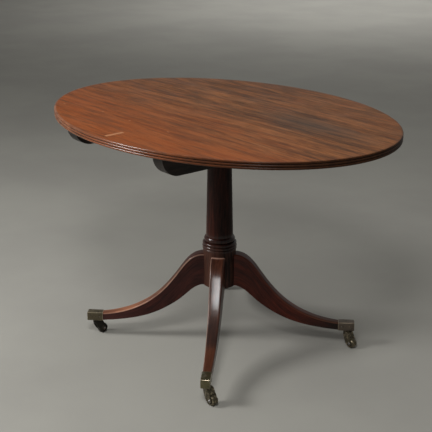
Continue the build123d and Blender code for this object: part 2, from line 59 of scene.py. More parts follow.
class Grain(Enum):
    """Which way a wood's grain runs: the order of the axes that puts that one first, or none for the piece's map."""

    ALONG_X = (0, 1, 2)
    ALONG_Y = (1, 0, 2)
    ALONG_Z = (2, 0, 1)
    ALONG_LENGTH = ()


class Corner(Enum):
    """The four legs, each with its direction from the column in degrees."""

    RIGHT_BACK = 45
    LEFT_BACK = 135
    LEFT_FRONT = 225
    RIGHT_FRONT = 315

    @property
    def label(self) -> str:
        """The corner's name as the frame's nodes end with it."""
        return self.name.lower()

    def at(self, reach: float, across: float = 0.0, up: float = 0.0) -> Vector:
        """The place at a distance out, a distance to the right of that way and a height."""
        return Matrix.Rotation(radians(self.value), 3, "Z") @ Vector((reach, -across, up))


# Node trees


def operator(operation: str, swapped: bool = False) -> Callable[..., "Signal"]:
    """Make an operator of signals.

    Args:
        operation: The operation of its Math node.
        swapped: Whether the signal comes last, as in a reflected operator.

    Returns:
        The method.
    """
    def apply(signal: "Signal", *others: "Signal | float") -> "Signal":
        """Add the Math node to the signal's tree."""
        return signal.graph.math(operation, *((*others, signal) if swapped else (signal, *others)))
    return apply


@dataclass
class Signal:
    """An output socket that carries a number, which Python's operators work on."""

    graph: "Graph"
    socket: Socket

    __add__, __radd__ = operator("ADD"), operator("ADD", swapped=True)
    __sub__, __rsub__ = operator("SUBTRACT"), operator("SUBTRACT", swapped=True)
    __mul__, __rmul__ = operator("MULTIPLY"), operator("MULTIPLY", swapped=True)
    __truediv__, __abs__ = operator("DIVIDE"), operator("ABSOLUTE")
    larger, smaller = operator("MAXIMUM"), operator("MINIMUM")

    def rise(self, low: float, high: float) -> "Signal":
        """A smooth step: 0 below the low value and 1 above the high one."""
        inputs = {"Value": self, "From Min": low, "From Max": high}
        return Signal(self.graph, self.graph.make("ShaderNodeMapRange", inputs, interpolation_type="SMOOTHSTEP"))

    def fall(self, low: float, high: float) -> "Signal":
        """A smooth step: 1 below the low value and 0 above the high one."""
        return 1 - self.rise(low, high)


@dataclass
class Graph:
    """A node tree, with one way to add any node to it."""

    tree: bpy.types.NodeTree

    def node(self, kind: str, settings: dict | None = None, inputs: dict | None = None) -> bpy.types.Node:
        """Add a node.

        Args:
            kind: The node's type.
            settings: The node's own settings, set first. "stops" gives a ramp's places and colours.
            inputs: Values, signals, sockets or lists of sockets for its inputs, by name or place.

        Returns:
            The node.
        """
        made = self.tree.nodes.new(kind)
        for name, value in (settings or {}).items():
            if name == "stops":
                while len(made.color_ramp.elements) < len(value):
                    made.color_ramp.elements.new(1.0)
                for element, (place, colour) in zip(made.color_ramp.elements, value):
                    element.position, element.color = place, (*colour, 1.0)
            else:
                setattr(made, name, value)
        for key, value in (inputs or {}).items():
            for each in value if isinstance(value, list) else [value]:
                source = each.socket if isinstance(each, Signal) else each
                if isinstance(source, Socket):
                    self.tree.links.new(source, made.inputs[key])
                else:
                    made.inputs[key].default_value = source
        return made

    def make(self, kind: str, inputs: dict, **settings: object) -> Socket:
        """Add a node and return its first output."""
        return self.node(kind, settings, inputs).outputs[0]

    def math(self, operation: str, *values: Signal | float) -> Signal:
        """Add a Math node and return its result."""
        return Signal(self, self.make("ShaderNodeMath", dict(enumerate(values)), operation=operation))

    def vector(self, operation: str, *values: object) -> Socket:
        """Add a Vector Math node and return its vector."""
        return self.make("ShaderNodeVectorMath", dict(enumerate(values)), operation=operation)

    def join(self, x: object, y: object, z: object) -> Socket:
        """Put three numbers together as a vector."""
        return self.make("ShaderNodeCombineXYZ", {0: x, 1: y, 2: z})

    def split(self, vector: Socket) -> list[Signal]:
        """Take a vector apart into its three numbers."""
        return [Signal(self, output) for output in self.node("ShaderNodeSeparateXYZ", None, {0: vector}).outputs]


class Shader(Graph):
    """A material's node tree."""

    def place(self, grain: Grain) -> Socket:
        """The place on the piece in metres, with its X along the grain.

        Args:
            grain: The grain's direction.

        Returns:
            The vector.
        """
        coordinates = self.node("ShaderNodeTexCoord").outputs
        if grain is Grain.ALONG_LENGTH:
            return coordinates["UV"]
        parts = self.split(coordinates["Object"])
        return self.join(*(parts[axis] for axis in grain.value))

    def attribute(self, name: str, output: str) -> Socket:
        """One of the piece's own attributes, as one of the node's outputs gives it."""
        return self.node("ShaderNodeAttribute", {"attribute_name": name}).outputs[output]

    def noise(self, place: Socket, stretch: Point, shift: float = 0.0, detail: float = 4.0, roughness: float = 0.55,
              distortion: float = 0.0) -> Signal:
        """Noise with its own scale along each axis.

        Args:
            place: The vector that it is read at.
            stretch: How many cells there are in a metre along each axis.
            shift: How far the pattern is moved, so that two patterns differ.
            detail: The number of finer layers.
            roughness: The strength of the finer layers.
            distortion: How much the pattern curls.

        Returns:
            A number about 0.5.
        """
        scaled = self.vector("MULTIPLY_ADD", place, stretch, (shift, shift, shift))
        inputs = {"Vector": scaled, "Scale": 1.0, "Detail": detail, "Roughness": roughness, "Distortion": distortion}
        return Signal(self, self.make("ShaderNodeTexNoise", inputs))

    @staticmethod
    def colour(value: object) -> object:
        """A colour as a socket takes it."""
        return (*value, 1.0) if isinstance(value, tuple) else value

    def mix(self, share: Signal | float, first: object, second: object) -> Socket:
        """Mix two colours, with the second one's share."""
        inputs = {0: share, 6: self.colour(first), 7: self.colour(second)}
        return self.node("ShaderNodeMix", {"data_type": "RGBA"}, inputs).outputs[2]

    def layers(self, colour: object, *over: tuple[Signal, object]) -> Socket:
        """Lay colours over one another.

        Args:
            colour: The lowest colour.
            over: Each further colour after its share.

        Returns:
            The colour of them all.
        """
        for share, upper in over:
            colour = self.mix(share, colour, upper)
        return colour

    def distance(self, first: Signal, second: Signal) -> Signal:
        """The length of a pair of numbers."""
        return self.math("SQRT", first * first + second * second)

    def spot(self, along: Signal, across: Signal, centre: Pair, reach: Pair, softness: float = 0.5) -> Signal:
        """An oval patch, 1 inside and 0 outside, which fades over a share of its half lengths."""
        distance = self.distance((along - centre[0]) / reach[0], (across - centre[1]) / reach[1])
        return distance.fall(1 - softness, 1 + softness)

    def surface(self, colour: object, roughness: object, metallic: object = 0.0, coat: object = 0.0,
                coat_roughness: float = 0.2, specular: float = 0.5, height: Signal | None = None,
                depth: float = 0.0002) -> None:
        """Finish the material with one surface.

        Args:
            colour: The base colour.
            roughness: The surface's roughness.
            metallic: 1 for a metal.
            coat: The weight of a clear coat.
            coat_roughness: The coat's roughness.
            specular: The strength of the reflection under the coat.
            height: A relief, where there is one.
            depth: The relief's depth in metres.
        """
        inputs = {"Base Color": self.colour(colour), "Roughness": roughness, "Metallic": metallic,
                  "Coat Weight": coat, "Coat Roughness": coat_roughness, "Specular IOR Level": specular}
        if height is not None:
            inputs["Normal"] = self.make("ShaderNodeBump", {"Height": height, "Distance": depth, "Strength": 1.0})
        principled = self.make("ShaderNodeBsdfPrincipled", inputs)
        self.node("ShaderNodeOutputMaterial", None, {"Surface": principled})


# Finishes


@dataclass(frozen=True)
class Finish:
    """A finish that any piece can take."""

    name: str

    def material(self) -> bpy.types.Material:
        """Make the finish's material, once.

        Returns:
            The material.
        """
        found = bpy.data.materials.get(self.name)
        if found is None:
            found = bpy.data.materials.new(self.name)
            found.use_nodes = True
            found.node_tree.nodes.clear()
            self.paint(Shader(found.node_tree))
        return found

    def paint(self, shader: Shader) -> None:
        """Add the finish's nodes."""
        raise NotImplementedError


@dataclass(frozen=True)
class Streaks:
    """A wood's place, with its X along the grain, and three numbers about 0.5: its bands, fine streaks and pores."""

    place: Socket
    bands: Signal
    fine: Signal
    pores: Signal


@dataclass(frozen=True)
class Wood(Finish):
    """A waxed or bare wood with streaks along its grain."""

    grain: Grain
    pale: Colour
    middle: Colour
    dark: Colour
    shift: float
    stripes: float
    figure: float
    contrast: float = 0.11
    roughness: float = 0.5
    specular: float = 0.3
    coat: float = 0.0
    coat_roughness: float = 0.2
    pore_depth: float = 0.00012

    def toned(self, name: str, share: Colour, **changes: float | Colour) -> "Wood":
        """The same wood by another name, with its colours multiplied and other values changed."""
        tones = {key: tuple(a * b for a, b in zip(getattr(self, key), share)) for key in ("pale", "middle", "dark")}
        return replace(self, name=name, **tones, **changes)

    def streaks(self, shader: Shader) -> Streaks:
        """Make the wood's streaks, the bands from broad and narrow ones.

        Args:
            shader: The material's tree.

        Returns:
            The streaks and the place that they are read at.
        """
        place, along, across, shift = shader.place(self.grain), self.figure, self.stripes, self.shift
        broad = shader.noise(place, (along * 0.5, across * 0.2, across * 0.2), shift, 3.0, 0.5, distortion=0.5)
        bands = shader.noise(place, (along, across, across), shift + 3, 4.0, 0.6, distortion=0.3)
        fine = shader.noise(place, (along * 4, across * 4, across * 4), shift + 5, 4.0, 0.6)
        pores = shader.noise(place, (along * 10, 1000.0, 1000.0), shift + 7, 2.0, 0.5)
        return Streaks(place, broad * 0.35 + bands * 0.65, fine, pores)

    def colours(self, shader: Shader, streaks: Streaks) -> Socket:
        """The wood's colour.

        Args:
            shader: The material's tree.
            streaks: The wood's streaks.

        Returns:
            The colour.
        """
        tone, spread = streaks.bands * 0.6 + streaks.fine * 0.4, self.contrast
        stops = ((0.5 - spread, self.dark), (0.5, self.middle), (0.5 + spread, self.pale))
        colour = shader.make("ShaderNodeValToRGB", {0: tone}, stops=stops)
        return shader.mix(streaks.pores.fall(0.34, 0.46) * 0.4, colour, self.dark)

    def gloss(self, shader: Shader, place: Socket) -> Signal | float:
        """The weight of the wax over the wood."""
        return self.coat

    def paint(self, shader: Shader) -> None:
        """Add the wood's nodes.

        Args:
            shader: The material's tree.
        """
        streaks = self.streaks(shader)
        worn = shader.noise(streaks.place, (9.0, 14.0, 14.0), self.shift + 11, detail=3.0)
        shader.surface(self.colours(shader, streaks), self.roughness + (worn - 0.5) * 0.25 + (streaks.fine - 0.5) * 0.1,
                       0.0, self.gloss(shader, streaks.place), self.coat_roughness, self.specular,
                       height=streaks.pores * 0.5 + streaks.fine * 0.5, depth=self.pore_depth)


@dataclass(frozen=True)
class Brass(Finish):
    """Brass under a dull olive-brown tarnish, with dirt in its corners."""

    bright: Colour = (0.30, 0.235, 0.135)
    dull: Colour = (0.085, 0.070, 0.040)
    grime: Colour = (0.018, 0.015, 0.011)
    rubbed: float = 0.35
    roughness: float = 0.4
    metal: float = 0.7
    patches: float = 60.0

    def paint(self, shader: Shader) -> None:
        """Add the brass's nodes.

        Args:
            shader: The material's tree.
        """
        place, bright_from = shader.place(Grain.ALONG_X), 0.60 - 0.25 * self.rubbed
        cloud = shader.noise(place, (self.patches,) * 3)
        speck = shader.noise(place, (380.0,) * 3, shift=5.0, detail=3.0)
        clean = (cloud * 0.7 + speck * 0.3).rise(bright_from, bright_from + 0.12) * 0.6
        # Brightened edges: wear, and painted highlights on the box brass.
        clean = clean.larger((speck * 0.8 + 0.5) * self.wear(shader))
        hollow = Signal(shader, shader.attribute("hollow", "Fac"))
        dirt = (speck * 0.5 + cloud * 0.5).fall(0.38, 0.50).larger(hollow) * (1 - clean)
        colour = shader.layers(self.dull, (clean, self.bright), (dirt * 0.7, self.grime))
        shader.surface(colour, self.roughness - clean * 0.1 + dirt * 0.25, self.metal - dirt * 0.3,
                       specular=0.3, height=speck, depth=0.00012)

    def wear(self, shader: Shader) -> Signal | float:
        """How far a place is rubbed bright and painted with a highlight."""
        return 0.0


@dataclass(frozen=True)
class BoxBrass(Brass):
    """The brass of a box, rubbed bright along the edges, partly as a painted highlight."""

    length: float = 0.049
    half_width: float = 0.0136
    height: float = 0.027
    band: float = 0.0011

    def wear(self, shader: Shader) -> Signal:
        """How far a place is rubbed bright and painted with a highlight, by its distance from the nearest edge in the
        "place" attribute.

        Args:
            shader: The material's tree.

        Returns:
            1 on an edge and 0 off it.
        """
        along, across, up = shader.split(shader.attribute("place", "Vector"))
        first = along.smaller(self.length - along)
        second = self.half_width - abs(across)
        third = up.smaller(self.height - up)
        middle = first.smaller(second).larger(first.larger(second).smaller(third))
        return middle.fall(self.band * 0.3, self.band * 1.4)


@dataclass(frozen=True)
class Steel(Finish):
    """Old steel or black iron, with a little rust."""

    clean: Colour = (0.24, 0.23, 0.22)
    rust: Colour = (0.10, 0.05, 0.03)
    share: float = 0.35

    def paint(self, shader: Shader) -> None:
        """Add the metal's nodes.

        Args:
            shader: The material's tree.
        """
        cloud = shader.noise(shader.place(Grain.ALONG_X), (120.0,) * 3, shift=2.0, detail=5.0)
        rusty = cloud.rise(0.66 - 0.3 * self.share, 0.74 - 0.3 * self.share)
        colour = shader.mix(rusty, self.clean, self.rust)
        shader.surface(colour, 0.4 + rusty * 0.4, 1 - rusty * 0.8, height=cloud)


@dataclass(frozen=True)
class Screed(Finish):
    """The studio's plain painted floor."""

    light: Colour = (0.345, 0.335, 0.300)
    shade: Colour = (0.315, 0.305, 0.275)

    def paint(self, shader: Shader) -> None:
        """Add the floor's nodes.

        Args:
            shader: The material's tree.
        """
        place = shader.place(Grain.ALONG_X)
        cloud = shader.noise(place, (1.4,) * 3)
        fine = shader.noise(place, (60.0,) * 3, shift=4.0, detail=3.0)
        colour = shader.mix(cloud.rise(0.35, 0.65), self.shade, self.light)
        shader.surface(colour, 0.75, specular=0.2, height=fine, depth=0.0003)


@dataclass(frozen=True)
class TopWood(Wood):
    """A board of the oval top, with the marks of its use, painted light that makes it redder towards the front, and
    painted shade on the rim's right end.
    """

    # Tints the flecks, and paints light: the board is made redder towards the front.
    red: Colour = (0.245, 0.055, 0.010)
    stain: Colour = (0.060, 0.047, 0.036)
    slip: Colour = (0.36, 0.16, 0.075)
    worn: Colour = (0.36, 0.16, 0.085)
    # Darkens the grooves between the reeds, and paints shade on the rim's upper edge at the right end.
    soot: Colour = (0.012, 0.006, 0.004)
    bare: Colour = (0.105, 0.058, 0.034)
    bare_dark: Colour = (0.045, 0.027, 0.018)
    half_length: float = 0.579
    half_width: float = 0.4265
    underside: float = 0.699
    face: float = 0.72
    grooves: Pair = (0.706, 0.713)
    slip_middle: Pair = (0.0185, -0.375)
    slip_half: Pair = (0.0065, 0.029)
    nicks: Sequence[Pair] = ((-0.386, -0.283), (-0.223, -0.253), (-0.083, -0.257), (0.089, -0.252))
    reed_coat: float = 0.72

    def colours(self, shader: Shader, streaks: Streaks) -> Socket:
        """The board's colour: redder towards the front as painted light, stained, with a let-in slip and a rim with
        wear and painted shade.

        Args:
            shader: The material's tree.
            streaks: The wood's streaks.

        Returns:
            The colour.
        """
        place, shift = streaks.place, self.shift
        x, y, z = shader.split(place)
        above = z.rise(self.face - 0.0015, self.face - 0.0005)
        below = z.fall(self.underside + 0.0003, self.underside + 0.0010)
        cloud = shader.noise(place, (2.0, 6.0, 6.0), shift + 20, detail=3.0)
        strips = shader.noise(place, (3.2, 46.0, 46.0), shift + 24, roughness=0.62, distortion=0.4)
        flecks = shader.noise(place, (9.0, 150.0, 150.0), shift + 28, roughness=0.7, distortion=0.3)
        # Painted light: redder towards the front and left, browner behind, for the sheen and light that fall on the
        # board.
        front = (cloud * 0.35 - y - x * 0.15).rise(0.12, 0.48)
        blot = shader.spot(x + (cloud - 0.5) * 0.2, y + x * 0.1 + (cloud - 0.5) * 0.1, (0.27, 0.12), (0.17, 0.06), 0.8)
        nicks = [shader.spot(x, y, nick, reach=(0.005, 0.0022), softness=0.3) for nick in self.nicks]
        colour = shader.layers(
            super().colours(shader, streaks), (front * 0.7, self.red), (strips.fall(0.40, 0.52) * 0.42, self.dark),
            (flecks.rise(0.50, 0.66) * 0.5, self.red), (flecks.fall(0.36, 0.48) * 0.52, self.dark),
            (blot * above * 0.6, self.stain), *((nick * above * 0.7, self.slip) for nick in nicks))
        bare = shader.mix((streaks.bands * 0.4 + streaks.fine * 0.6).fall(0.42, 0.56), self.bare, self.bare_dark)
        return shader.layers(self.rim(shader, (x, y, z), colour), (self.slip_mask(x, y) * above, self.slip),
                             (below, bare))

    def slip_mask(self, x: Signal, y: Signal) -> Signal:
        """The pale slip let into the front board.

        Args:
            x: The place along the oval.
            y: The place across it.

        Returns:
            1 on the slip and 0 off it.
        """
        (middle_x, middle_y), (half_width, half_length), edge = self.slip_middle, self.slip_half, 0.0012
        bent = x - middle_x + (y - middle_y) * 0.05
        inside = abs(bent).fall(half_width - edge, half_width + edge)
        return inside * abs(y - middle_y).fall(half_length - edge, half_length + edge)

    def reach(self, shader: Shader, x: Signal, y: Signal) -> Signal:
        """How far out a place lies: 0 in the oval's middle and 1 at its edge."""
        return shader.distance(x / self.half_length, y / self.half_width)

    def gloss(self, shader: Shader, place: Socket) -> Signal:
        """The weight of the wax: thick on the reeds, less so at the right end, and none on the faces.

        Args:
            shader: The material's tree.
            place: The place on the board.

        Returns:
            The weight.
        """
        x, y, _ = shader.split(place)
        on_reeds = self.reach(shader, x, y).rise(0.988, 0.992)
        return on_reeds * (x.fall(0.10, 0.45) * 0.9 + 0.1) * self.reed_coat + self.coat

    def rim(self, shader: Shader, place: Sequence[Signal], colour: Socket) -> Socket:
        """The rim: darker all round and along the grooves between the reeds, painted shade along its upper edge at the
        right end, and reeds rubbed pale at the left front.

        Args:
            shader: The material's tree.
            place: The place's three numbers.
            colour: The board's colour.

        Returns:
            The colour with the rim's marks.
        """
        x, y, z = place
        edge = self.reach(shader, x, y).rise(0.984, 0.991)
        upper = z.fall(self.face - 0.0015, self.face - 0.0002)
        rubbed = shader.noise(shader.join(x, y, z), (22.0, 22.0, 150.0), shift=31.0).rise(0.36, 0.70)
        handled = shader.spot(x, y, (-0.27, -0.37), (0.17, 0.11), softness=0.6)
        # Painted shade: the rim's upper edge darkens towards the right end.
        return shader.layers(
            colour, (edge * 0.3, self.dark), (edge * upper * x.rise(0.10, 0.50) * 0.8, self.soot),
            *((edge * abs(z - level).fall(0.0004, 0.0014) * 0.85, self.soot) for level in self.grooves),
            (edge * rubbed * handled * 0.65, self.worn))


@dataclass(frozen=True)
class ColumnWood(Wood):
    """The column's wood: nearly black on the stem, browner on the drum and glossier on the collar."""

    drum_top: float = 0.304
    collar_top: float = 0.346
    gloss_top: float = 0.36
    drum: Colour = (0.082, 0.037, 0.025)
    collar_coat: float = 0.7

    def colours(self, shader: Shader, streaks: Streaks) -> Socket:
        """The wood's colour, changing with the height.

        Args:
            shader: The material's tree.
            streaks: The wood's streaks.

        Returns:
            The colour.
        """
        height, tone = shader.split(streaks.place)[0], streaks.bands * 0.6 + streaks.fine * 0.4
        browner = tone.rise(0.36, 0.56) * height.fall(self.drum_top - 0.004, self.collar_top)
        return shader.mix(browner * 0.7, super().colours(shader, streaks), self.drum)

    def gloss(self, shader: Shader, place: Socket) -> Signal:
        """The weight of the wax: thicker on the collar, which hands rub.

        Args:
            shader: The material's tree.
            place: The place, with the height first.

        Returns:
            The weight.
        """
        height = shader.split(place)[0]
        on_collar = height.rise(self.drum_top - 0.002, self.drum_top) * height.fall(self.collar_top, self.gloss_top)
        return on_collar * (self.collar_coat - self.coat) + self.coat


@dataclass(frozen=True)
class LegWood(Wood):
    """A leg's wood, paler on the back from wear and painted light, with painted highlights along an edge and the
    shoulder, and its foot painted to the light that falls there.
    """

    # The back's paler colour: wear, and painted light where the light falls on the upper face.
    rubbed: Colour = (0.30, 0.115, 0.055)
    # The pale colour of the painted highlights along one edge of the back and across the shoulder.
    edge: Colour = (0.50, 0.30, 0.22)
    dim: Colour = (0.018, 0.011, 0.010)
    # The colour that the foot is painted for its light: darker where it is in shade, lighter on a lit leg.
    foot: Colour = (0.011, 0.0038, 0.0026)
    rub: float = 0.5
    edge_rub: float = 0.3
    edge_side: float = 1.0
    foot_shade: float = 0.4
    shoulder: float = 0.0
    bloom: float = 0.0

    def colours(self, shader: Shader, streaks: Streaks) -> Socket:
        """The wood's colour, with the foot painted to its light and, where the leg's marks say so, a back paler from
        wear and painted light and painted highlights along an edge and the shoulder.

        Args:
            shader: The material's tree.
            streaks: The wood's streaks.

        Returns:
            The colour.
        """
        back, edge, reach = shader.split(shader.attribute("rubbing", "Vector"))
        patches = shader.noise(streaks.place, (12.0, 40.0, 40.0), self.shift + 15).rise(0.30, 0.60)
        # The back is paler from wear and painted light, more so towards the foot.
        lower = reach.rise(0.15, 0.75) * 0.9 + 0.1
        # Darker part way down the leg.
        dim = reach.rise(0.42, 0.50) * reach.fall(0.63, 0.75) * (patches * 0.4 + 0.6)
        # Painted highlight: a pale line along the lit edge of the back, and across the back at the shoulder.
        line = (edge * self.edge_side).rise(0.3, 1.0) * self.edge_rub
        line = line.larger(back * reach.fall(0.018, 0.034) * self.shoulder)
        # Painted shade at the foot, and painted light on the lit leg's foot.
        return shader.layers(
            super().colours(shader, streaks), (reach.rise(0.45, 1.0) * self.foot_shade, self.foot),
            (back * lower * (patches * 0.6 + 0.4) * self.rub, self.rubbed), (dim * self.bloom, self.dim),
            (line * (patches * 0.5 + 0.5), self.edge))


BEARER_WOOD = Wood("bearer_wood", Grain.ALONG_Y, (0.028, 0.018, 0.014), (0.014, 0.010, 0.008), (0.006, 0.0045, 0.004),
                   shift=9.0, stripes=40.0, figure=4.0)
BLOCK_WOOD = Wood("block_wood", Grain.ALONG_X, (0.060, 0.034, 0.023), (0.034, 0.019, 0.014), (0.014, 0.008, 0.006),
                  shift=13.0, stripes=36.0, figure=2.0, roughness=0.62)
WEDGE_WOOD = Wood("wedge_wood", Grain.ALONG_Y, (0.22, 0.13, 0.07), (0.15, 0.085, 0.045), (0.06, 0.03, 0.02),
                  shift=17.0, stripes=60.0, figure=2.0, roughness=0.65)
TOP_WOODS = {
    board: TopWood(f"{board}_board_wood", Grain.ALONG_X, (0.292, 0.116, 0.044), (0.204, 0.081, 0.029),
                   (0.072, 0.031, 0.015), shift=shift, stripes=62.0, figure=4.5, contrast=0.080, roughness=0.42,
                   specular=0.06, coat_roughness=0.22)
    for board, shift in (("front", 2.0), ("middle", 6.0), ("back", 10.0))
}
COLUMN_WOOD = ColumnWood("column_wood", Grain.ALONG_Z, (0.058, 0.013, 0.007), (0.026, 0.0065, 0.004),
                         (0.008, 0.0028, 0.002), shift=5.0, stripes=45.0, figure=5.0, specular=0.08, coat=0.13,
                         coat_roughness=0.18)
BASE_WOOD = LegWood("base_wood", Grain.ALONG_LENGTH, (0.066, 0.018, 0.010), (0.034, 0.0092, 0.0055),
                    (0.011, 0.0038, 0.0026), shift=1.0, stripes=45.0, figure=6.0, specular=0.10, coat=0.3,
                    coat_roughness=0.17)
# Painted light and shade: each leg's colours are multiplied, and its back, edge and foot set, to the light that falls
# on it.
LEG_WOODS = {
    Corner.RIGHT_BACK: BASE_WOOD.toned("right_back_leg_wood", (2.2, 1.3, 1.07), rub=0.12, edge_rub=0.12,
                                       foot_shade=0.95, foot=(0.007, 0.0045, 0.003), edge=(0.35, 0.13, 0.07)),
    Corner.LEFT_BACK: BASE_WOOD.toned("left_back_leg_wood", (1.0, 1.0, 1.0), rub=0.3, edge_rub=0.2),
    Corner.LEFT_FRONT: BASE_WOOD.toned("left_front_leg_wood", (0.85, 0.65, 0.78), rub=0.9, edge_rub=0.5,
                                       edge_side=-1.0, foot=(0.080, 0.028, 0.024)),
    Corner.RIGHT_FRONT: BASE_WOOD.toned("right_front_leg_wood", (1.65, 2.05, 1.95), rub=0.08, edge_rub=0.65,
                                        foot_shade=0.35, foot=(0.046, 0.012, 0.005), shoulder=0.9, bloom=0.8,
                                        coat=0.5, coat_roughness=0.2),
}
# Painted light: each cap's brass is toned to the light that falls on it, and the front cap's edges are painted bright
# as highlights.
CAP_BRASS = {
    Corner.RIGHT_BACK: BoxBrass("right_back_cap_brass", (0.34, 0.27, 0.19), (0.092, 0.071, 0.053), rubbed=0.0,
                                roughness=0.36, metal=0.4),
    Corner.LEFT_BACK: BoxBrass("left_back_cap_brass", dull=(0.13, 0.105, 0.06), rubbed=0.1, metal=0.85),
    Corner.LEFT_FRONT: BoxBrass("left_front_cap_brass", (0.34, 0.29, 0.20), (0.092, 0.074, 0.043), rubbed=0.0,
                                metal=0.35),
    Corner.RIGHT_FRONT: BoxBrass("right_front_cap_brass", (0.60, 0.50, 0.38), (0.155, 0.142, 0.077), rubbed=0.1,
                                 roughness=0.30, metal=0.85),
}
CASTER_BRASS = Brass("caster_brass", (0.46, 0.38, 0.25), (0.092, 0.078, 0.050), rubbed=0.4, roughness=0.34,
                     patches=150.0)
# Painted shade: a darker brass for the left front caster, which sits in the shadow of its cap.
DARK_BRASS = Brass("dark_brass", (0.10, 0.085, 0.06), (0.022, 0.019, 0.015), rubbed=0.2)
CATCH_BRASS = Brass("catch_brass", rubbed=0.9)
AGED_STEEL = Steel("aged_steel")
BLACK_IRON = Steel("black_iron", clean=(0.05, 0.045, 0.045), rust=(0.06, 0.035, 0.025), share=0.2)
STUDIO_FLOOR = Screed("studio_floor")


# Geometry Nodes


class Pattern(Graph):
    """A Geometry Nodes tree with named sizes, whose result becomes a plain mesh."""

    SOCKETS = {float: "NodeSocketFloat", int: "NodeSocketInt"}

    def __init__(self, name: str, sizes: dict[str, float | int], takes_mesh: bool = False) -> None:
        """Make the tree and its inputs.

        Args:
            name: The tree's name.
            sizes: Its named numbers.
            takes_mesh: Whether it works on a mesh that is given to it.
        """
        super().__init__(bpy.data.node_groups.new(name, "GeometryNodeTree"))
        self.sizes = sizes
        self.add_socket("Geometry", "OUTPUT", "NodeSocketGeometry")
        if takes_mesh:
            self.add_socket("Geometry", "INPUT", "NodeSocketGeometry")
        self.keys = {"Finish": self.add_socket("Finish", "INPUT", "NodeSocketMaterial")}
        for key, value in sizes.items():
            self.keys[key] = self.add_socket(key, "INPUT", self.SOCKETS[type(value)])
        self.given = self.node("NodeGroupInput").outputs

    def add_socket(self, name: str, way: str, kind: str) -> str:
        """Add an input or output to the tree and return its identifier."""
        return self.tree.interface.new_socket(name=name, in_out=way, socket_type=kind).identifier

    def size(self, name: str) -> Signal:
        """A named size."""
        return Signal(self, self.given[name])

    def lift(self, geometry: Socket, up: Signal | Socket) -> Socket:
        """Move a geometry upwards."""
        return self.make("GeometryNodeTransform", {"Geometry": geometry, "Translation": self.join(0.0, 0.0, up)})

    def end(self, geometry: Socket) -> None:
        """Make the geometry real, give it its finish and put it out.

        Args:
            geometry: The tree's result.
        """
        real = self.make("GeometryNodeRealizeInstances", {0: geometry})
        dressed = self.make("GeometryNodeSetMaterial", {"Geometry": real, "Material": self.given["Finish"]})
        self.node("NodeGroupOutput", None, {0: dressed})

    def grow(self, name: str, finish: Finish, source: bpy.types.Mesh | None = None) -> Piece:
        """Run the tree and keep its result as a plain mesh.

        Args:
            name: The piece's name.
            finish: The piece's finish.
            source: The mesh that the tree works on, if it takes one.

        Returns:
            The piece, with no modifier left.
        """
        seed = source or bpy.data.meshes.new(name + "_seed")
        piece = bpy.data.objects.new(name, seed)
        bpy.context.scene.collection.objects.link(piece)
        modifier = piece.modifiers.new("pattern", "NODES")
        modifier.node_group = self.tree
        for key, identifier in self.keys.items():
            modifier[identifier] = finish.material() if key == "Finish" else self.sizes[key]
        evaluated = piece.evaluated_get(bpy.context.evaluated_depsgraph_get())
        result = bpy.data.meshes.new_from_object(evaluated)
        piece.modifiers.remove(modifier)
        piece.data = result
        result.name = name
        bpy.data.meshes.remove(seed)
        return piece


# Meshes


def tidy_mesh(piece: Piece, gap: float = 0.00001, crease: float = 35.0) -> None:
    """Merge a closed mesh's doubles, turn its faces outwards and shade it smooth but for its creases.

    Args:
        piece: The piece.
        gap: Points nearer than this are merged.
        crease: Edges sharper than this many degrees stay sharp.
    """
    work = bmesh.new()
    work.from_mesh(piece.data)
    bmesh.ops.remove_doubles(work, verts=work.verts, dist=gap)
    bmesh.ops.dissolve_degenerate(work, edges=work.edges, dist=gap)
    bmesh.ops.recalc_face_normals(work, faces=work.faces)
    for face in work.faces:
        face.smooth = True
    for edge in work.edges:
        edge.smooth = len(edge.link_faces) == 2 and edge.calc_face_angle(0.0) < radians(crease)
    work.to_mesh(piece.data)
    work.free()


def new_piece(name: str, points: Sequence[Sequence[float]], faces: Sequence[Sequence[int]], finish: Finish) -> Piece:
    """A mesh piece from points and faces.

    Args:
        name: The piece's name.
        points: Its points.
        faces: Its faces.
        finish: Its finish.

    Returns:
        The piece.
    """
    mesh = bpy.data.meshes.new(name)
    mesh.from_pydata(points, [], faces)
    mesh.materials.append(finish.material())
    piece = bpy.data.objects.new(name, mesh)
    bpy.context.scene.collection.objects.link(piece)
    return piece


def loft(name: str, rings: Sequence[Sequence[Vector]], finish: Finish) -> Piece:
    """A closed piece through rings of points.

    Args:
        name: The piece's name.
        rings: Rings with the same number of points.
        finish: Its finish.

    Returns:
        The piece, with its points in the rings' order.
    """
    around = len(rings[0])
    end = (len(rings) - 1) * around
    faces = [tuple(reversed(range(around))), tuple(range(end, end + around))]
    for low in range(0, end, around):
        for spot in range(around):
            after = (spot + 1) % around
            faces.append((low + spot, low + after, low + around + after, low + around + spot))
    return new_piece(name, [point for ring in rings for point in ring], faces, finish)


def mark(piece: Piece, name: str, rows: Sequence[Point]) -> None:
    """Give each point of a piece three numbers as an attribute."""
    layer = piece.data.attributes.new(name, "FLOAT_VECTOR", "POINT")
    layer.data.foreach_set("vector", [value for row in rows for value in row])


def stand(piece: Piece, place: Vector, turn: float, tip: float) -> None:
    """Tip a turned piece over, turn it to its direction and put it in its place."""
    piece.data.transform(Matrix.Translation(place) @ Matrix.Rotation(turn, 4, "Z") @ Matrix.Rotation(tip, 4, "X"))


def adopt(piece: Piece, body: str, slot: str, *nodes: str) -> Piece:
    """Let a piece ride on a body and hide what it stands for.

    Args:
        piece: The piece.
        body: The body that it moves with.
        slot: Its material's slot; not used.
        nodes: The frame's nodes that it replaces.

    Returns:
        The piece.
    """
    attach(piece, body)
    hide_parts(*nodes)
    return piece


def repaint(node: str, finish: Finish) -> None:
    """Give a node of the frame a better finish."""
    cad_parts[node].material_slots[0].material = finish.material()


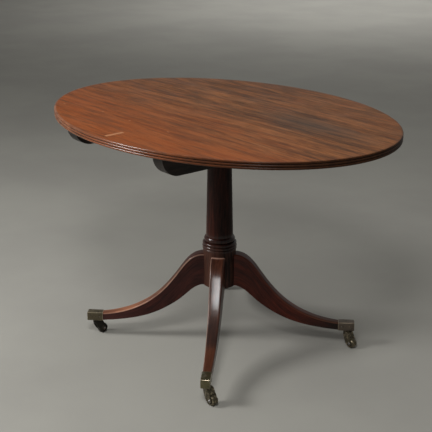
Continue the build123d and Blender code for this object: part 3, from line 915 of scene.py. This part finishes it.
@dataclass
class Turning:
    """A turned piece: a profile of radii and heights swept round an axis."""

    name: str
    profile: Sequence[Pair]
    finish: Finish
    segments: int

    def build(self) -> Piece:
        """Sweep the profile round a circle of radius 1.

        Returns:
            The piece, upright on the origin.
        """
        seed = bpy.data.meshes.new(self.name + "_profile")
        points = [(radius - 1, -height, 0) for radius, height in self.profile]
        seed.from_pydata(points, [(low, low + 1) for low in range(len(points) - 1)], [])
        tree = Pattern(self.name + "_turning", {"Segments": self.segments}, takes_mesh=True)
        profile = tree.make("GeometryNodeMeshToCurve", {0: tree.given["Geometry"]})
        circle = tree.make("GeometryNodeCurvePrimitiveCircle", {"Resolution": tree.given["Segments"], "Radius": 1.0})
        tree.end(tree.make("GeometryNodeCurveToMesh", {"Curve": circle, "Profile Curve": profile}))
        piece = tree.grow(self.name, self.finish, seed)
        tidy_mesh(piece)
        return piece


def arc(start: Pair, middle: Pair, end: Pair, steps: int) -> list[Pair]:
    """Points along the circle through three points, with the last left off.

    Args:
        start: The first point.
        middle: A point on the way.
        end: The last point.
        steps: The number of points.

    Returns:
        The points.
    """
    (ax, ay), (bx, by), (cx, cy) = start, middle, end
    twice = 2 * (ax * (by - cy) + bx * (cy - ay) + cx * (ay - by))
    a, b, c = ax * ax + ay * ay, bx * bx + by * by, cx * cx + cy * cy
    centre_x = (a * (by - cy) + b * (cy - ay) + c * (ay - by)) / twice
    centre_y = (a * (cx - bx) + b * (ax - cx) + c * (bx - ax)) / twice
    radius = hypot(ax - centre_x, ay - centre_y)
    first = atan2(ay - centre_y, ax - centre_x)
    turn, middle_turn = ((atan2(y - centre_y, x - centre_x) - first + pi) % (2 * pi) - pi for x, y in (end, middle))
    if turn * middle_turn < 0:
        turn -= 2 * pi * (1 if turn > 0 else -1)
    angles = [first + turn * step / steps for step in range(steps)]
    return [(centre_x + radius * cos(angle), centre_y + radius * sin(angle)) for angle in angles]


# The table


@dataclass
class Top:
    """The oval top: three boards with a reeded edge."""

    length: float = 1.158
    width: float = 0.853
    height: float = 0.72
    thickness: float = 0.021
    reeds: int = 3
    reed_inset: float = 0.0032
    reed_points: int = 14
    seam: float = 0.142
    steps: int = 480

    def blank(self, name: str, finish: Finish) -> Piece:
        """The whole oval with its reeds, swept round the rim.

        Args:
            name: The piece's name.
            finish: Its finish.

        Returns:
            The piece.
        """
        sizes = {"Half length": self.length / 2 - self.reed_inset, "Half width": self.width / 2 - self.reed_inset,
                 "Reed height": self.thickness / self.reeds, "Reed inset": self.reed_inset, "Reeds": self.reeds,
                 "Reed points": self.reed_points, "Steps": self.steps, "Top height": self.height,
                 "Underside height": self.height - self.thickness}
        tree = Pattern(name + "_reeding", sizes)
        given, make, reed_height = tree.given, tree.make, tree.size("Reed height")
        circle = make("GeometryNodeCurvePrimitiveCircle", {"Resolution": given["Steps"], "Radius": 1.0})
        oval = tree.vector("MULTIPLY", make("GeometryNodeInputPosition", {}),
                           tree.join(given["Half length"], given["Half width"], 0.0))
        rim = make("GeometryNodeSetPosition", {"Geometry": circle, "Position": oval})
        half_round = make("GeometryNodeCurveArc", {"Resolution": given["Reed points"], "Radius": 1.0,
                                                   "Start Angle": -pi / 2, "Sweep Angle": pi})
        reed = make("GeometryNodeTransform", {"Geometry": half_round,
                                              "Scale": tree.join(given["Reed inset"], reed_height / 2, 0.0)})
        first = (tree.size("Underside height") + reed_height / 2) * -1
        stack = make("GeometryNodeMeshLine", {"Count": given["Reeds"], "Start Location": tree.join(0.0, first, 0.0),
                                              "Offset": tree.join(0.0, reed_height * -1, 0.0)})
        reeds = make("GeometryNodeInstanceOnPoints", {"Points": stack, "Instance": reed})
        profile = make("GeometryNodeRealizeInstances", {0: reeds})
        faces = [make("GeometryNodeCurveToMesh", {"Curve": rim, "Profile Curve": profile})]
        for level in ("Top height", "Underside height"):
            faces.append(tree.lift(make("GeometryNodeFillCurve", {0: rim}, mode="NGONS"), given[level]))
        tree.end(make("GeometryNodeJoinGeometry", {0: faces}))
        return tree.grow(name, finish)

    @staticmethod
    def saw(piece: Piece, low: float, high: float) -> None:
        """Keep what lies between two upright planes, and close the sawn faces.

        Args:
            piece: The piece.
            low: The first plane's place along Y.
            high: The second plane's.
        """
        work = bmesh.new()
        work.from_mesh(piece.data)
        for level, towards in ((low, -1), (high, 1)):
            every = [*work.verts, *work.edges, *work.faces]
            cut = bmesh.ops.bisect_plane(work, geom=every, dist=1e-7, plane_co=(0, level, 0),
                                         plane_no=(0, towards, 0), clear_outer=True)
            sawn = [item for item in cut["geom_cut"] if isinstance(item, bmesh.types.BMEdge)]
            if sawn:
                bmesh.ops.contextual_create(work, geom=sawn)
        bmesh.ops.recalc_face_normals(work, faces=work.faces)
        work.to_mesh(piece.data)
        work.free()
        tidy_mesh(piece)

    def build(self) -> list[Piece]:
        """Cut the three boards from the oval.

        Returns:
            The boards.
        """
        cuts, boards = (-self.width, -self.seam, self.seam, self.width), []
        for (board, wood), low, high in zip(TOP_WOODS.items(), cuts, cuts[1:]):
            piece = self.blank(f"top_{board}", wood)
            tidy_mesh(piece)
            self.saw(piece, low, high)
            boards.append(adopt(piece, "top", "top_mahogany", f"top_board_{board}"))
        return boards


@dataclass
class Column:
    """The turned column, from the drum that holds the legs to the tenon in the block."""

    drum_levels: Sequence[float] = (0.191, 0.25, 0.29)
    drum_top: float = 0.304
    drum_radius: float = 0.0495
    collar_height: float = 0.042
    reed_levels: Sequence[float] = (0.00, 0.15, 0.37, 0.58)
    reed_radii: Sequence[float] = (0.0512, 0.0520, 0.0510)
    groove_radii: Sequence[float] = (0.0495, 0.0475, 0.0475, 0.043)
    bead_levels: Sequence[float] = (0.60, 1.00)
    bead_radius: float = 0.04625
    stem_foot: float = 0.0405
    stem_head: float = 0.034
    reed_steps: int = 12
    bead_steps: int = 16
    stem_steps: int = 8
    tenon_radius: float = 0.025
    block_bottom: float = 0.6537
    block_top: float = 0.6987

    def profile(self) -> list[Pair]:
        """The column's outline, from the foot up.

        Returns:
            Its radii and heights.
        """
        levels = [self.drum_top + level * self.collar_height for level in self.reed_levels]
        foot, head = (self.drum_top + level * self.collar_height for level in self.bead_levels)
        outline = [(0.0, self.drum_levels[0]), *((self.drum_radius, level) for level in self.drum_levels)]
        grooves = list(zip(self.groove_radii, levels))
        for start, end, radius in zip(grooves, grooves[1:], self.reed_radii):
            outline += arc(start, (radius, (start[1] + end[1]) / 2), end, self.reed_steps)
        outline.append(grooves[-1])
        outline += arc((self.groove_radii[-1], foot), (self.bead_radius, (foot + head) / 2), (self.stem_foot, head),
                       self.bead_steps)
        for step in range(self.stem_steps + 1):
            share = step / self.stem_steps
            radius = self.stem_foot + (self.stem_head - self.stem_foot) * share
            outline.append((radius, head + (self.block_bottom - head) * share))
        return outline + [(self.tenon_radius, self.block_bottom), (self.tenon_radius, self.block_top),
                          (0.0, self.block_top)]

    def build(self) -> list[Piece]:
        """Turn the column."""
        piece = Turning("turned_column", self.profile(), COLUMN_WOOD, segments=144).build()
        return [adopt(piece, "base", "base_mahogany", "column")]


@dataclass
class Leg:
    """A sabre leg, with a slightly crowned back and rounded edges."""

    corner: Corner
    root_radius: float = 0.0496
    mouth: float = 0.364
    root_width: float = 0.045
    foot_width: float = 0.025
    crown: float = 0.0006
    back_round: float = 0.004
    belly_round: float = 0.0012
    stations: int = 90
    across_steps: int = 8
    crowding: float = 0.6
    first_down: float = 0.02
    edge_from: float = 0.7
    slope_step: float = 0.002
    margin: float = 0.0002
    tang_width: float = 0.0241
    tang_low: float = 0.0537
    tang_high: float = 0.0773
    tang_end: float = 0.4112

    def outline(self) -> list[Point]:
        """Read the leg's back and belly from its node.

        Returns:
            Distances from the axis, each with the back's height and the belly's.
        """
        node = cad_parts[f"leg_{self.corner.label}"].data
        tree = BVHTree.FromPolygons([v.co for v in node.vertices], [p.vertices for p in node.polygons])
        low, high, steps = self.root_radius + self.margin, self.mouth - self.margin, self.stations * 2
        found = []
        for step in range(steps + 1):
            reach = low + (high - low) * step / steps
            above = tree.ray_cast(self.corner.at(reach, up=1), Vector((0, 0, -1)))[0]
            below = tree.ray_cast(self.corner.at(reach), Vector((0, 0, 1)))[0]
            found.append((reach, above.z, below.z))
        return found

    @staticmethod
    def read(found: Sequence[Point], reach: float) -> Pair:
        """The heights of back and belly at a distance, between the ones that were read.

        Args:
            found: The leg's outline.
            reach: The distance from the axis.

        Returns:
            The two heights.
        """
        first, last = found[0][0], found[-1][0]
        place = max(0.0, min(1.0, (reach - first) / (last - first))) * (len(found) - 1)
        low = min(int(place), len(found) - 2)
        share = place - low
        return tuple(found[low][i] * (1 - share) + found[low + 1][i] * share for i in (1, 2))

    def section(self) -> list[Pair]:
        """The points round a section, from the left edge of the back.

        Returns:
            Each point's place across, from -1 to 1, and its share of the way down.
        """
        steps = self.across_steps
        across = [step / steps for step in range(-steps, steps + 1)]
        down = [self.first_down, *(step / steps for step in range(1, steps))]
        return [*((place, 0.0) for place in across), *((1.0, share) for share in down),
                *((place, 1.0) for place in reversed(across)), *((-1.0, share) for share in reversed(down))]

    def point(self, found: Sequence[Point], share: float, sideways: float, down: float) -> Point:
        """One point of a section.

        Args:
            found: The leg's outline.
            share: The share of the leg's length.
            sideways: The place across, from -1 to 1.
            down: The share of the way down.

        Returns:
            The point outwards, across and up.
        """
        middle = self.root_radius + (self.mouth - self.root_radius) * share
        half = (self.root_width + (self.foot_width - self.root_width) * middle / self.mouth) / 2
        across = half * ((1 + self.crowding) * sideways - self.crowding * sideways**3)
        start = sqrt(self.root_radius**2 - across**2)
        reach = start + (self.mouth - start) * share
        upper, lower = (self.eased(found, reach, across, half, on_back) for on_back in (True, False))
        return tuple(a * (1 - down) + b * down for a, b in zip(upper, lower))

    def eased(self, found: Sequence[Point], reach: float, across: float, half: float, on_back: bool) -> Point:
        """A point of the back or belly, let down towards the rounded edges.

        Args:
            found: The leg's outline.
            reach: The distance from the axis.
            across: The distance from the leg's middle.
            half: Half the leg's width there.
            on_back: Whether it is on the back.

        Returns:
            The point outwards, across and up.
        """
        belly = (1, 1, self.belly_round, 0.0)
        index, sign, rounding, crown = (0, -1, self.back_round, self.crown) if on_back else belly
        step = self.slope_step
        here, ahead, behind = (self.read(found, reach + ahead)[index] for ahead in (0, step, -step))
        slope = (ahead - behind) / (min(reach + step, self.mouth) - max(reach - step, self.root_radius))
        past = max(0.0, abs(across) - (half - rounding))
        drop = rounding - sqrt(max(0.0, rounding**2 - past**2)) + crown * (across / half) ** 2
        length = hypot(1.0, slope)
        return (reach - sign * slope / length * drop, across, here + sign * drop / length)

    def build(self) -> list[Piece]:
        """Loft the sections into a closed leg with its tang, and mark its back and edges for its wood's wear and
        painted light.

        Returns:
            The leg.
        """
        found, section = self.outline(), self.section()
        rings = [[self.point(found, station / self.stations, *spot) for spot in section]
                 for station in range(self.stations + 1)]
        rings += [[(reach, self.tang_width / 2 * sideways, self.tang_high + (self.tang_low - self.tang_high) * down)
                   for sideways, down in section] for reach in (self.mouth, self.tang_end)]
        piece = loft(f"sabre_leg_{self.corner.label}", [[self.corner.at(*point) for point in ring] for ring in rings],
                     LEG_WOODS[self.corner])
        self.map_grain(piece, rings)
        backs = [float(down == 0.0) for _, down in section]
        edges = [back * ((sideways > self.edge_from) - (sideways < -self.edge_from))
                 for back, (sideways, _) in zip(backs, section)]
        mark(piece, "rubbing", [(back, edge, min(1.0, ring / self.stations)) for ring in range(len(rings))
                                for back, edge in zip(backs, edges)])
        tidy_mesh(piece, crease=40.0)
        return [adopt(piece, "base", "base_mahogany", f"leg_{self.corner.label}")]

    def map_grain(self, piece: Piece, rings: Sequence[Sequence[Point]]) -> None:
        """Map the leg with its length along U and the way round its section along V.

        Args:
            piece: The leg.
            rings: The points of its sections.
        """
        middles = [Vector(ring[self.across_steps]) for ring in rings]
        travel = [0.0]
        for first, second in zip(middles, middles[1:]):
            travel.append(travel[-1] + (second - first).length)
        layer, start = piece.data.uv_layers.new(name="grain"), self.corner.value / 60
        for loop in piece.data.loops:
            ring, spot = divmod(loop.vertex_index, len(rings[0]))
            _, across, up = rings[ring][spot]
            layer.data[loop.index].uv = (start + travel[ring], start + across + rings[ring][self.across_steps][2] - up)


@dataclass
class ToeCap:
    """A brass box over a foot, open towards the leg, with a line engraved round its mouth."""

    corner: Corner
    mouth: float = 0.364
    length: float = 0.049
    half_width: float = 0.0136
    bottom: float = 0.052
    height: float = 0.027
    wall: float = 0.0015
    upper_round: float = 0.0018
    lower_round: float = 0.0022
    end_round: float = 0.0022
    least_round: float = 0.0002
    lip: float = 0.0004
    line_place: float = 0.0024
    line_width: float = 0.0006
    line_depth: float = 0.0003
    steps: int = 5

    def stations(self) -> list[Pair]:
        """The places along the box, from the inner end round to the outer.

        Returns:
            Each place with the depth of its section under the skin.
        """
        found = [(self.length - self.wall, self.wall), (self.lip, self.wall), (0.0, self.wall - self.lip),
                 (0.0, self.lip), (self.lip, 0.0)]
        found += [(self.line_place + way * self.line_width, 0.0 if way else self.line_depth) for way in (-1, 0, 1)]
        for step in range(self.steps + 1):
            angle = pi / 2 * step / self.steps
            found.append((self.length - self.end_round * (1 - sin(angle)), self.end_round * (1 - cos(angle))))
        return found

    def section(self, depth: float) -> list[Pair]:
        """The points round the box.

        Args:
            depth: How far they lie under its skin.

        Returns:
            The points across and up.
        """
        points = []
        for quarter, (side, level) in enumerate(((1, 0), (1, 1), (-1, 1), (-1, 0))):
            rounding = max(self.least_round, (self.upper_round if level else self.lower_round) - depth)
            middle_side = side * (self.half_width - depth - rounding)
            middle_up = self.height - depth - rounding if level else depth + rounding
            for step in range(self.steps + 1):
                angle = pi / 2 * (quarter - 1 + step / self.steps)
                points.append((middle_side + rounding * cos(angle), middle_up + rounding * sin(angle)))
        return points

    def build(self) -> list[Piece]:
        """Loft the box, and mark each point's place on it for its brass.

        Returns:
            The cap.
        """
        local = [[(along, *point) for point in self.section(depth)] for along, depth in self.stations()]
        rings = [[self.corner.at(self.mouth + a, b, self.bottom + c) for a, b, c in ring] for ring in local]
        piece = loft(f"box_cap_{self.corner.label}", rings, CAP_BRASS[self.corner])
        mark(piece, "place", [point for ring in local for point in ring])
        tidy_mesh(piece)
        return [adopt(piece, "base", "brass", f"toe_cap_{self.corner.label}")]


@dataclass
class Caster:
    """A caster: its stem, horn, axle and turned barrel wheel."""

    corner: Corner
    stem_reach: float = 0.389
    trail: float = 0.025
    radius: float = 0.0155
    end_radius: float = 0.0128
    half_width: float = 0.00975
    half_tread: float = 0.003
    dish: float = 0.0014
    hub_radius: float = 0.0055
    rim: float = 0.0026
    bore: float = 0.00305
    chamfer: float = 0.0003
    bulge: float = 0.7
    step: float = 0.0002
    steps: int = 8

    TURNS = {Corner.RIGHT_BACK: 0, Corner.LEFT_BACK: 200, Corner.LEFT_FRONT: 96, Corner.RIGHT_FRONT: 4}

    def side(self) -> list[Point]:
        """The wheel's upper half, from the tread in to the bore.

        Returns:
            Radii, heights and dirt.
        """
        inner, cut, hub, end = self.end_radius - self.rim, self.chamfer, self.hub_radius, self.half_width
        floor, bulge = end - self.dish, self.end_radius + self.bulge * (self.radius - self.end_radius)
        curve = arc((self.radius, self.half_tread), (bulge, (end + self.half_tread) / 2),
                    (self.end_radius + self.step, end - cut), self.steps)
        return [*((radius, height, 0.0) for radius, height in curve), (self.end_radius, end - cut, 0.0),
                (self.end_radius - cut, end, 0.0), (inner + cut, end, 0.0), (inner, end - cut, 0.3),
                (inner, floor, 1.0), (hub + cut, floor, 1.0), (hub, floor + cut, 0.8), (hub, end - cut, 0.1),
                (hub - cut, end, 0.0), (self.bore + cut, end, 0.2), (self.bore, end - cut, 0.8)]

    def build(self) -> list[Piece]:
        """Turn the wheel, mark the dirt in its hollows and repaint the rest, the left front caster in a brass painted
        dark for its shade.

        Returns:
            The wheel.
        """
        label = self.corner.label
        # The left front caster's brass is painted darker for the shade it sits in.
        brass = DARK_BRASS if self.corner is Corner.LEFT_FRONT else CASTER_BRASS
        for part, finish in (("stem", AGED_STEEL), ("axle", AGED_STEEL), ("horn", brass)):
            repaint(f"caster_{part}_{label}", finish)
        upper = self.side()
        whole = upper + [(radius, -height, dirt) for radius, height, dirt in reversed(upper)]
        profile = [(radius, height) for radius, height, _ in whole]
        wheel = Turning(f"barrel_wheel_{label}", [*profile, profile[0]], brass, segments=72).build()
        dirt_at = {(round(radius, 6), round(height, 6)): dirt for radius, height, dirt in whole}
        marks = [dirt_at.get((round(hypot(v.co.x, v.co.y), 6), round(v.co.z, 6)), 0.0) for v in wheel.data.vertices]
        wheel.data.attributes.new("hollow", "FLOAT", "POINT").data.foreach_set("value", marks)
        turn = radians(self.TURNS[self.corner])
        trail = Vector((cos(turn), sin(turn), 0)) * self.trail
        stand(wheel, self.corner.at(self.stem_reach, up=self.radius) + trail, turn, -pi / 2)
        return [adopt(wheel, f"wheel_{label}", "brass", f"caster_wheel_{label}")]


@dataclass
class Screws:
    """A set of like slotted wood screws, made and set in place by Geometry Nodes."""

    node: str
    body: str
    slot: str
    finish: Finish
    spots: Sequence[Point]
    radius: float
    length: float
    seed: int
    tipped: float = 180.0
    sides: int = 32
    pitch_share: float = 0.62
    shank_share: float = 0.35
    thread_share: float = 0.85

    def sizes(self) -> dict[str, float | int]:
        """The named sizes of the set.

        Returns:
            The sizes by name.
        """
        radius, shank = self.radius, self.length * self.shank_share
        threaded = (self.length - shank) * self.thread_share
        return {"Head radius": radius * 2.0, "Shank radius": radius, "Head depth": radius * 1.15, "Shank end": shank,
                "Core radius": radius * 0.78, "Tip radius": radius * 0.2, "Length": self.length,
                "Slot width": radius * 0.45, "Slot depth": radius * 0.5, "Thread height": radius * 0.2,
                "Threaded length": threaded, "Turns": threaded / (radius * self.pitch_share), "Sides": self.sides,
                "Tipped": radians(self.tipped), "Seed": self.seed}

    @staticmethod
    def frustum(tree: Pattern, low: str, high: str, top: Signal | float, depth: Signal) -> Socket:
        """A round piece between two named radii, its top at a depth and its bottom further down."""
        return tree.lift(tree.make("GeometryNodeMeshCone", {
            "Vertices": tree.given["Sides"], "Radius Bottom": tree.given[low], "Radius Top": tree.given[high],
            "Depth": depth - top}), depth * -1)

    def build(self) -> Piece:
        """Make one screw and set it at every spot, each with its slot turned another way.

        Returns:
            The set as one piece.
        """
        tree = Pattern(self.node + "_set", self.sizes(), takes_mesh=True)
        given, size, make = tree.given, tree.size, tree.make
        head = self.frustum(tree, "Shank radius", "Head radius", 0.0, size("Head depth"))
        slot = make("GeometryNodeMeshCube", {
            "Size": tree.join(size("Head radius") * 3, given["Slot width"], size("Slot depth") * 2)})
        slotted = make("GeometryNodeMeshBoolean", {"Mesh 1": head, "Mesh 2": slot}, operation="DIFFERENCE",
                       solver="EXACT")
        shank = self.frustum(tree, "Shank radius", "Shank radius", size("Head depth"), size("Shank end"))
        core = self.frustum(tree, "Tip radius", "Core radius", size("Shank end"), size("Length"))
        spiral = make("GeometryNodeCurveSpiral", {
            "Resolution": 24, "Rotations": given["Turns"], "Start Radius": given["Core radius"],
            "End Radius": size("Core radius") * 0.45, "Height": size("Threaded length") * -1})
        crest = make("GeometryNodeCurvePrimitiveCircle", {"Resolution": 4, "Radius": size("Thread height")})
        thread = make("GeometryNodeCurveToMesh", {"Curve": spiral, "Profile Curve": crest, "Fill Caps": True})
        screw = [slotted, shank, core, tree.lift(thread, size("Shank end") * -1)]
        spots = make("GeometryNodeInstanceOnPoints", {
            "Points": given["Geometry"], "Instance": make("GeometryNodeJoinGeometry", {0: screw}),
            "Rotation": tree.join(given["Tipped"], 0.0, 0.0)})
        spin = tree.node("FunctionNodeRandomValue", {"data_type": "FLOAT"}, {2: 0.0, 3: pi, "Seed": given["Seed"]})
        tree.end(make("GeometryNodeRotateInstances", {
            "Instances": spots, "Rotation": tree.join(0.0, 0.0, spin.outputs[1]), "Local Space": True}))
        seed = bpy.data.meshes.new(self.node + "_spots")
        seed.from_pydata(self.spots, [], [])
        piece = tree.grow(self.node + "_set", self.finish, seed)
        tidy_mesh(piece, gap=0.000001)
        return adopt(piece, self.body, self.slot, self.node)


@dataclass
class CapPins:
    """The cross pins of the toe caps, peened over at both ends."""

    reach: float = 0.375
    level: float = 0.0655
    radius: float = 0.0015
    half_length: float = 0.01375
    dome: float = 0.0002
    dome_steps: Sequence[float] = (0.0, 0.35, 0.7, 0.9, 1.0)

    def build(self) -> list[Piece]:
        """Turn one pin for each cap and join them.

        Returns:
            The pins as one piece.
        """
        profile = [(self.radius * share, self.dome * share**2 - self.half_length) for share in self.dome_steps]
        profile += [(radius, -height) for radius, height in reversed(profile)]
        work = bmesh.new()
        for corner in Corner:
            pin = Turning(f"pin_{corner.label}", profile, AGED_STEEL, segments=24).build()
            stand(pin, corner.at(self.reach, up=self.level), radians(corner.value), pi / 2)
            work.from_mesh(pin.data)
            bpy.data.objects.remove(pin)
        piece = new_piece("peened_cap_pins", [], [], AGED_STEEL)
        work.to_mesh(piece.data)
        work.free()
        return [adopt(piece, "base", "brass", "cap_pins")]


@dataclass
class Underside:
    """What carries the top: bearers, block, pins, plate, catch and their screws."""

    bearer_place: float = 0.2055
    bearer_screw_places: Sequence[float] = (0.29894, 0.19431, 0.05979)
    bearer_screw_level: float = 0.671
    strap_circle: float = 0.0375
    strap_level: float = 0.1885
    catch_half: Pair = (0.018, 0.012)
    catch_middle: float = -0.139
    catch_level: float = 0.697
    keeper_half: float = 0.016
    keeper_face: float = -0.12
    keeper_level: float = 0.6916

    FINISHES = {
        BEARER_WOOD: ("bearer_left", "bearer_right"), BLOCK_WOOD: ("block",), WEDGE_WOOD: ("tenon_wedges",),
        AGED_STEEL: ("pivot_pin_left", "pivot_pin_right"), BLACK_IRON: ("strap_plate",),
        CATCH_BRASS: ("catch_case", "catch_bolt", "catch_leaf", "keeper_plate"),
    }

    def screws(self) -> list[Screws]:
        """Lay out the four sets of screws.

        Returns:
            The sets.
        """
        ways, (across, along) = (-1, 1), self.catch_half
        bearer = [(side * self.bearer_place, way * place, self.bearer_screw_level)
                  for side in ways for way in ways for place in self.bearer_screw_places]
        strap = [(0.0, 0.0, self.strap_level)]
        strap += [corner.at(self.strap_circle, up=self.strap_level) for corner in Corner]
        catch = [(side * across, self.catch_middle + way * along, self.catch_level) for side in ways for way in ways]
        keeper = [(side * self.keeper_half, self.keeper_face, self.keeper_level) for side in ways]
        return [Screws("bearer_screws", "top", "steel", AGED_STEEL, bearer, radius=0.0025, length=0.038, seed=1),
                Screws("strap_screws", "base", "steel", AGED_STEEL, strap, radius=0.002, length=0.022, seed=2),
                Screws("catch_screws", "top", "brass", CATCH_BRASS, catch, radius=0.0015, length=0.012, seed=3),
                Screws("keeper_screws", "base", "brass", CATCH_BRASS, keeper, radius=0.0015, length=0.012, seed=4,
                       tipped=90.0)]

    def build(self) -> list[Piece]:
        """Repaint the pieces and drive the screws.

        Returns:
            The sets of screws.
        """
        for finish, nodes in self.FINISHES.items():
            for node in nodes:
                repaint(node, finish)
        return [screws.build() for screws in self.screws()]


# The studio


@dataclass
class Lamp:
    """A soft lamp that faces the table from a direction."""

    name: str
    azimuth: float
    elevation: float
    size: float
    power: float
    distance: float = 3.0
    target: Point = (0.0, 0.0, 0.35)
    spread: float = 180.0

    def build(self) -> None:
        """Hang the lamp."""
        light = bpy.data.lights.new(self.name, "AREA")
        light.shape = "DISK"
        light.size = self.size
        light.energy = self.power
        light.spread = radians(self.spread)
        turn, rise = radians(self.azimuth), radians(self.elevation)
        away = Vector((cos(rise) * cos(turn), cos(rise) * sin(turn), sin(rise)))
        lamp = bpy.data.objects.new(self.name, light)
        lamp.location = Vector(self.target) + away * self.distance
        lamp.rotation_euler = (-away).to_track_quat("-Z", "Y").to_euler()
        bpy.context.scene.collection.objects.link(lamp)


@dataclass
class Studio:
    """The plain floor, the lamps, the air and the camera."""

    floor_radius: float = 40.0
    floor_steps: int = 96
    camera_place: Point = (2.1377, -1.7724, 1.3595)
    camera_heading: Pair = (-0.7723, 0.6353)
    camera_pitch: float = 18.968
    focal_length: float = 82.12
    sensor_width: float = 36.0
    farthest: float = 60.0
    near_air: Colour = (0.19, 0.19, 0.185)
    far_air: Colour = (0.30, 0.30, 0.29)
    bright_azimuth: float = 110.0
    lamps: Sequence[Lamp] = (
        Lamp("left", azimuth=238, elevation=30, size=0.9, power=61),
        Lamp("beside_camera", azimuth=313, elevation=47, size=0.7, power=39),
        Lamp("overhead", azimuth=140, elevation=62, size=1.4, power=10),
        Lamp("far_floor", azimuth=90, elevation=90, size=5.0, power=90, distance=5.0, target=(-5.6, 6.8, 0.0),
             spread=90),
    )

    def build(self) -> None:
        """Lay the floor, hang the lamps and set up the camera."""
        self.lay_floor()
        self.fill_air()
        for lamp in self.lamps:
            lamp.build()
        self.set_camera()
        bpy.context.scene.view_settings.view_transform = "Standard"

    def lay_floor(self) -> None:
        """Lay a round floor under the table."""
        angles = [2 * pi * step / self.floor_steps for step in range(self.floor_steps)]
        points = [(self.floor_radius * cos(angle), self.floor_radius * sin(angle), 0.0) for angle in angles]
        floor = new_piece("floor", points, [tuple(range(self.floor_steps))], STUDIO_FLOOR)

    def fill_air(self) -> None:
        """Light the scene softly from all round, a little more from beyond the table."""
        world = bpy.data.worlds.new("studio_air")
        world.use_nodes = True
        world.node_tree.nodes.clear()
        graph = Shader(world.node_tree)
        x, y, _ = graph.split(graph.node("ShaderNodeTexCoord").outputs["Generated"])
        turn = radians(self.bright_azimuth)
        beyond = (x * cos(turn) + y * sin(turn)).rise(0.68, 0.97)
        background = graph.make("ShaderNodeBackground", {"Color": graph.mix(beyond, self.near_air, self.far_air)})
        graph.node("ShaderNodeOutputWorld", None, {"Surface": background})
        bpy.context.scene.world = world

    def set_camera(self) -> None:
        """Set up the camera where the photograph was taken from."""
        lens = bpy.data.cameras.new("camera")
        lens.lens = self.focal_length
        lens.sensor_width = self.sensor_width
        lens.clip_end = self.farthest
        camera = bpy.data.objects.new("camera", lens)
        camera.location = self.camera_place
        aim = Vector((*self.camera_heading, -tan(radians(self.camera_pitch)) * hypot(*self.camera_heading)))
        camera.rotation_euler = aim.to_track_quat("-Z", "Y").to_euler()
        bpy.context.scene.collection.objects.link(camera)
        bpy.context.scene.camera = camera


def main() -> None:
    """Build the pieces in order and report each."""
    logging.basicConfig(level=logging.INFO, format="%(name)s: %(message)s")
    corners = [part(corner) for corner in Corner for part in (Leg, ToeCap, Caster)]
    for part in (Top(), Column(), *corners, CapPins(), Underside()):
        for piece in part.build():
            log.info("%s: %d faces", piece.name, len(piece.data.polygons))
    Studio().build()


if __name__ == "__main__":
    main()
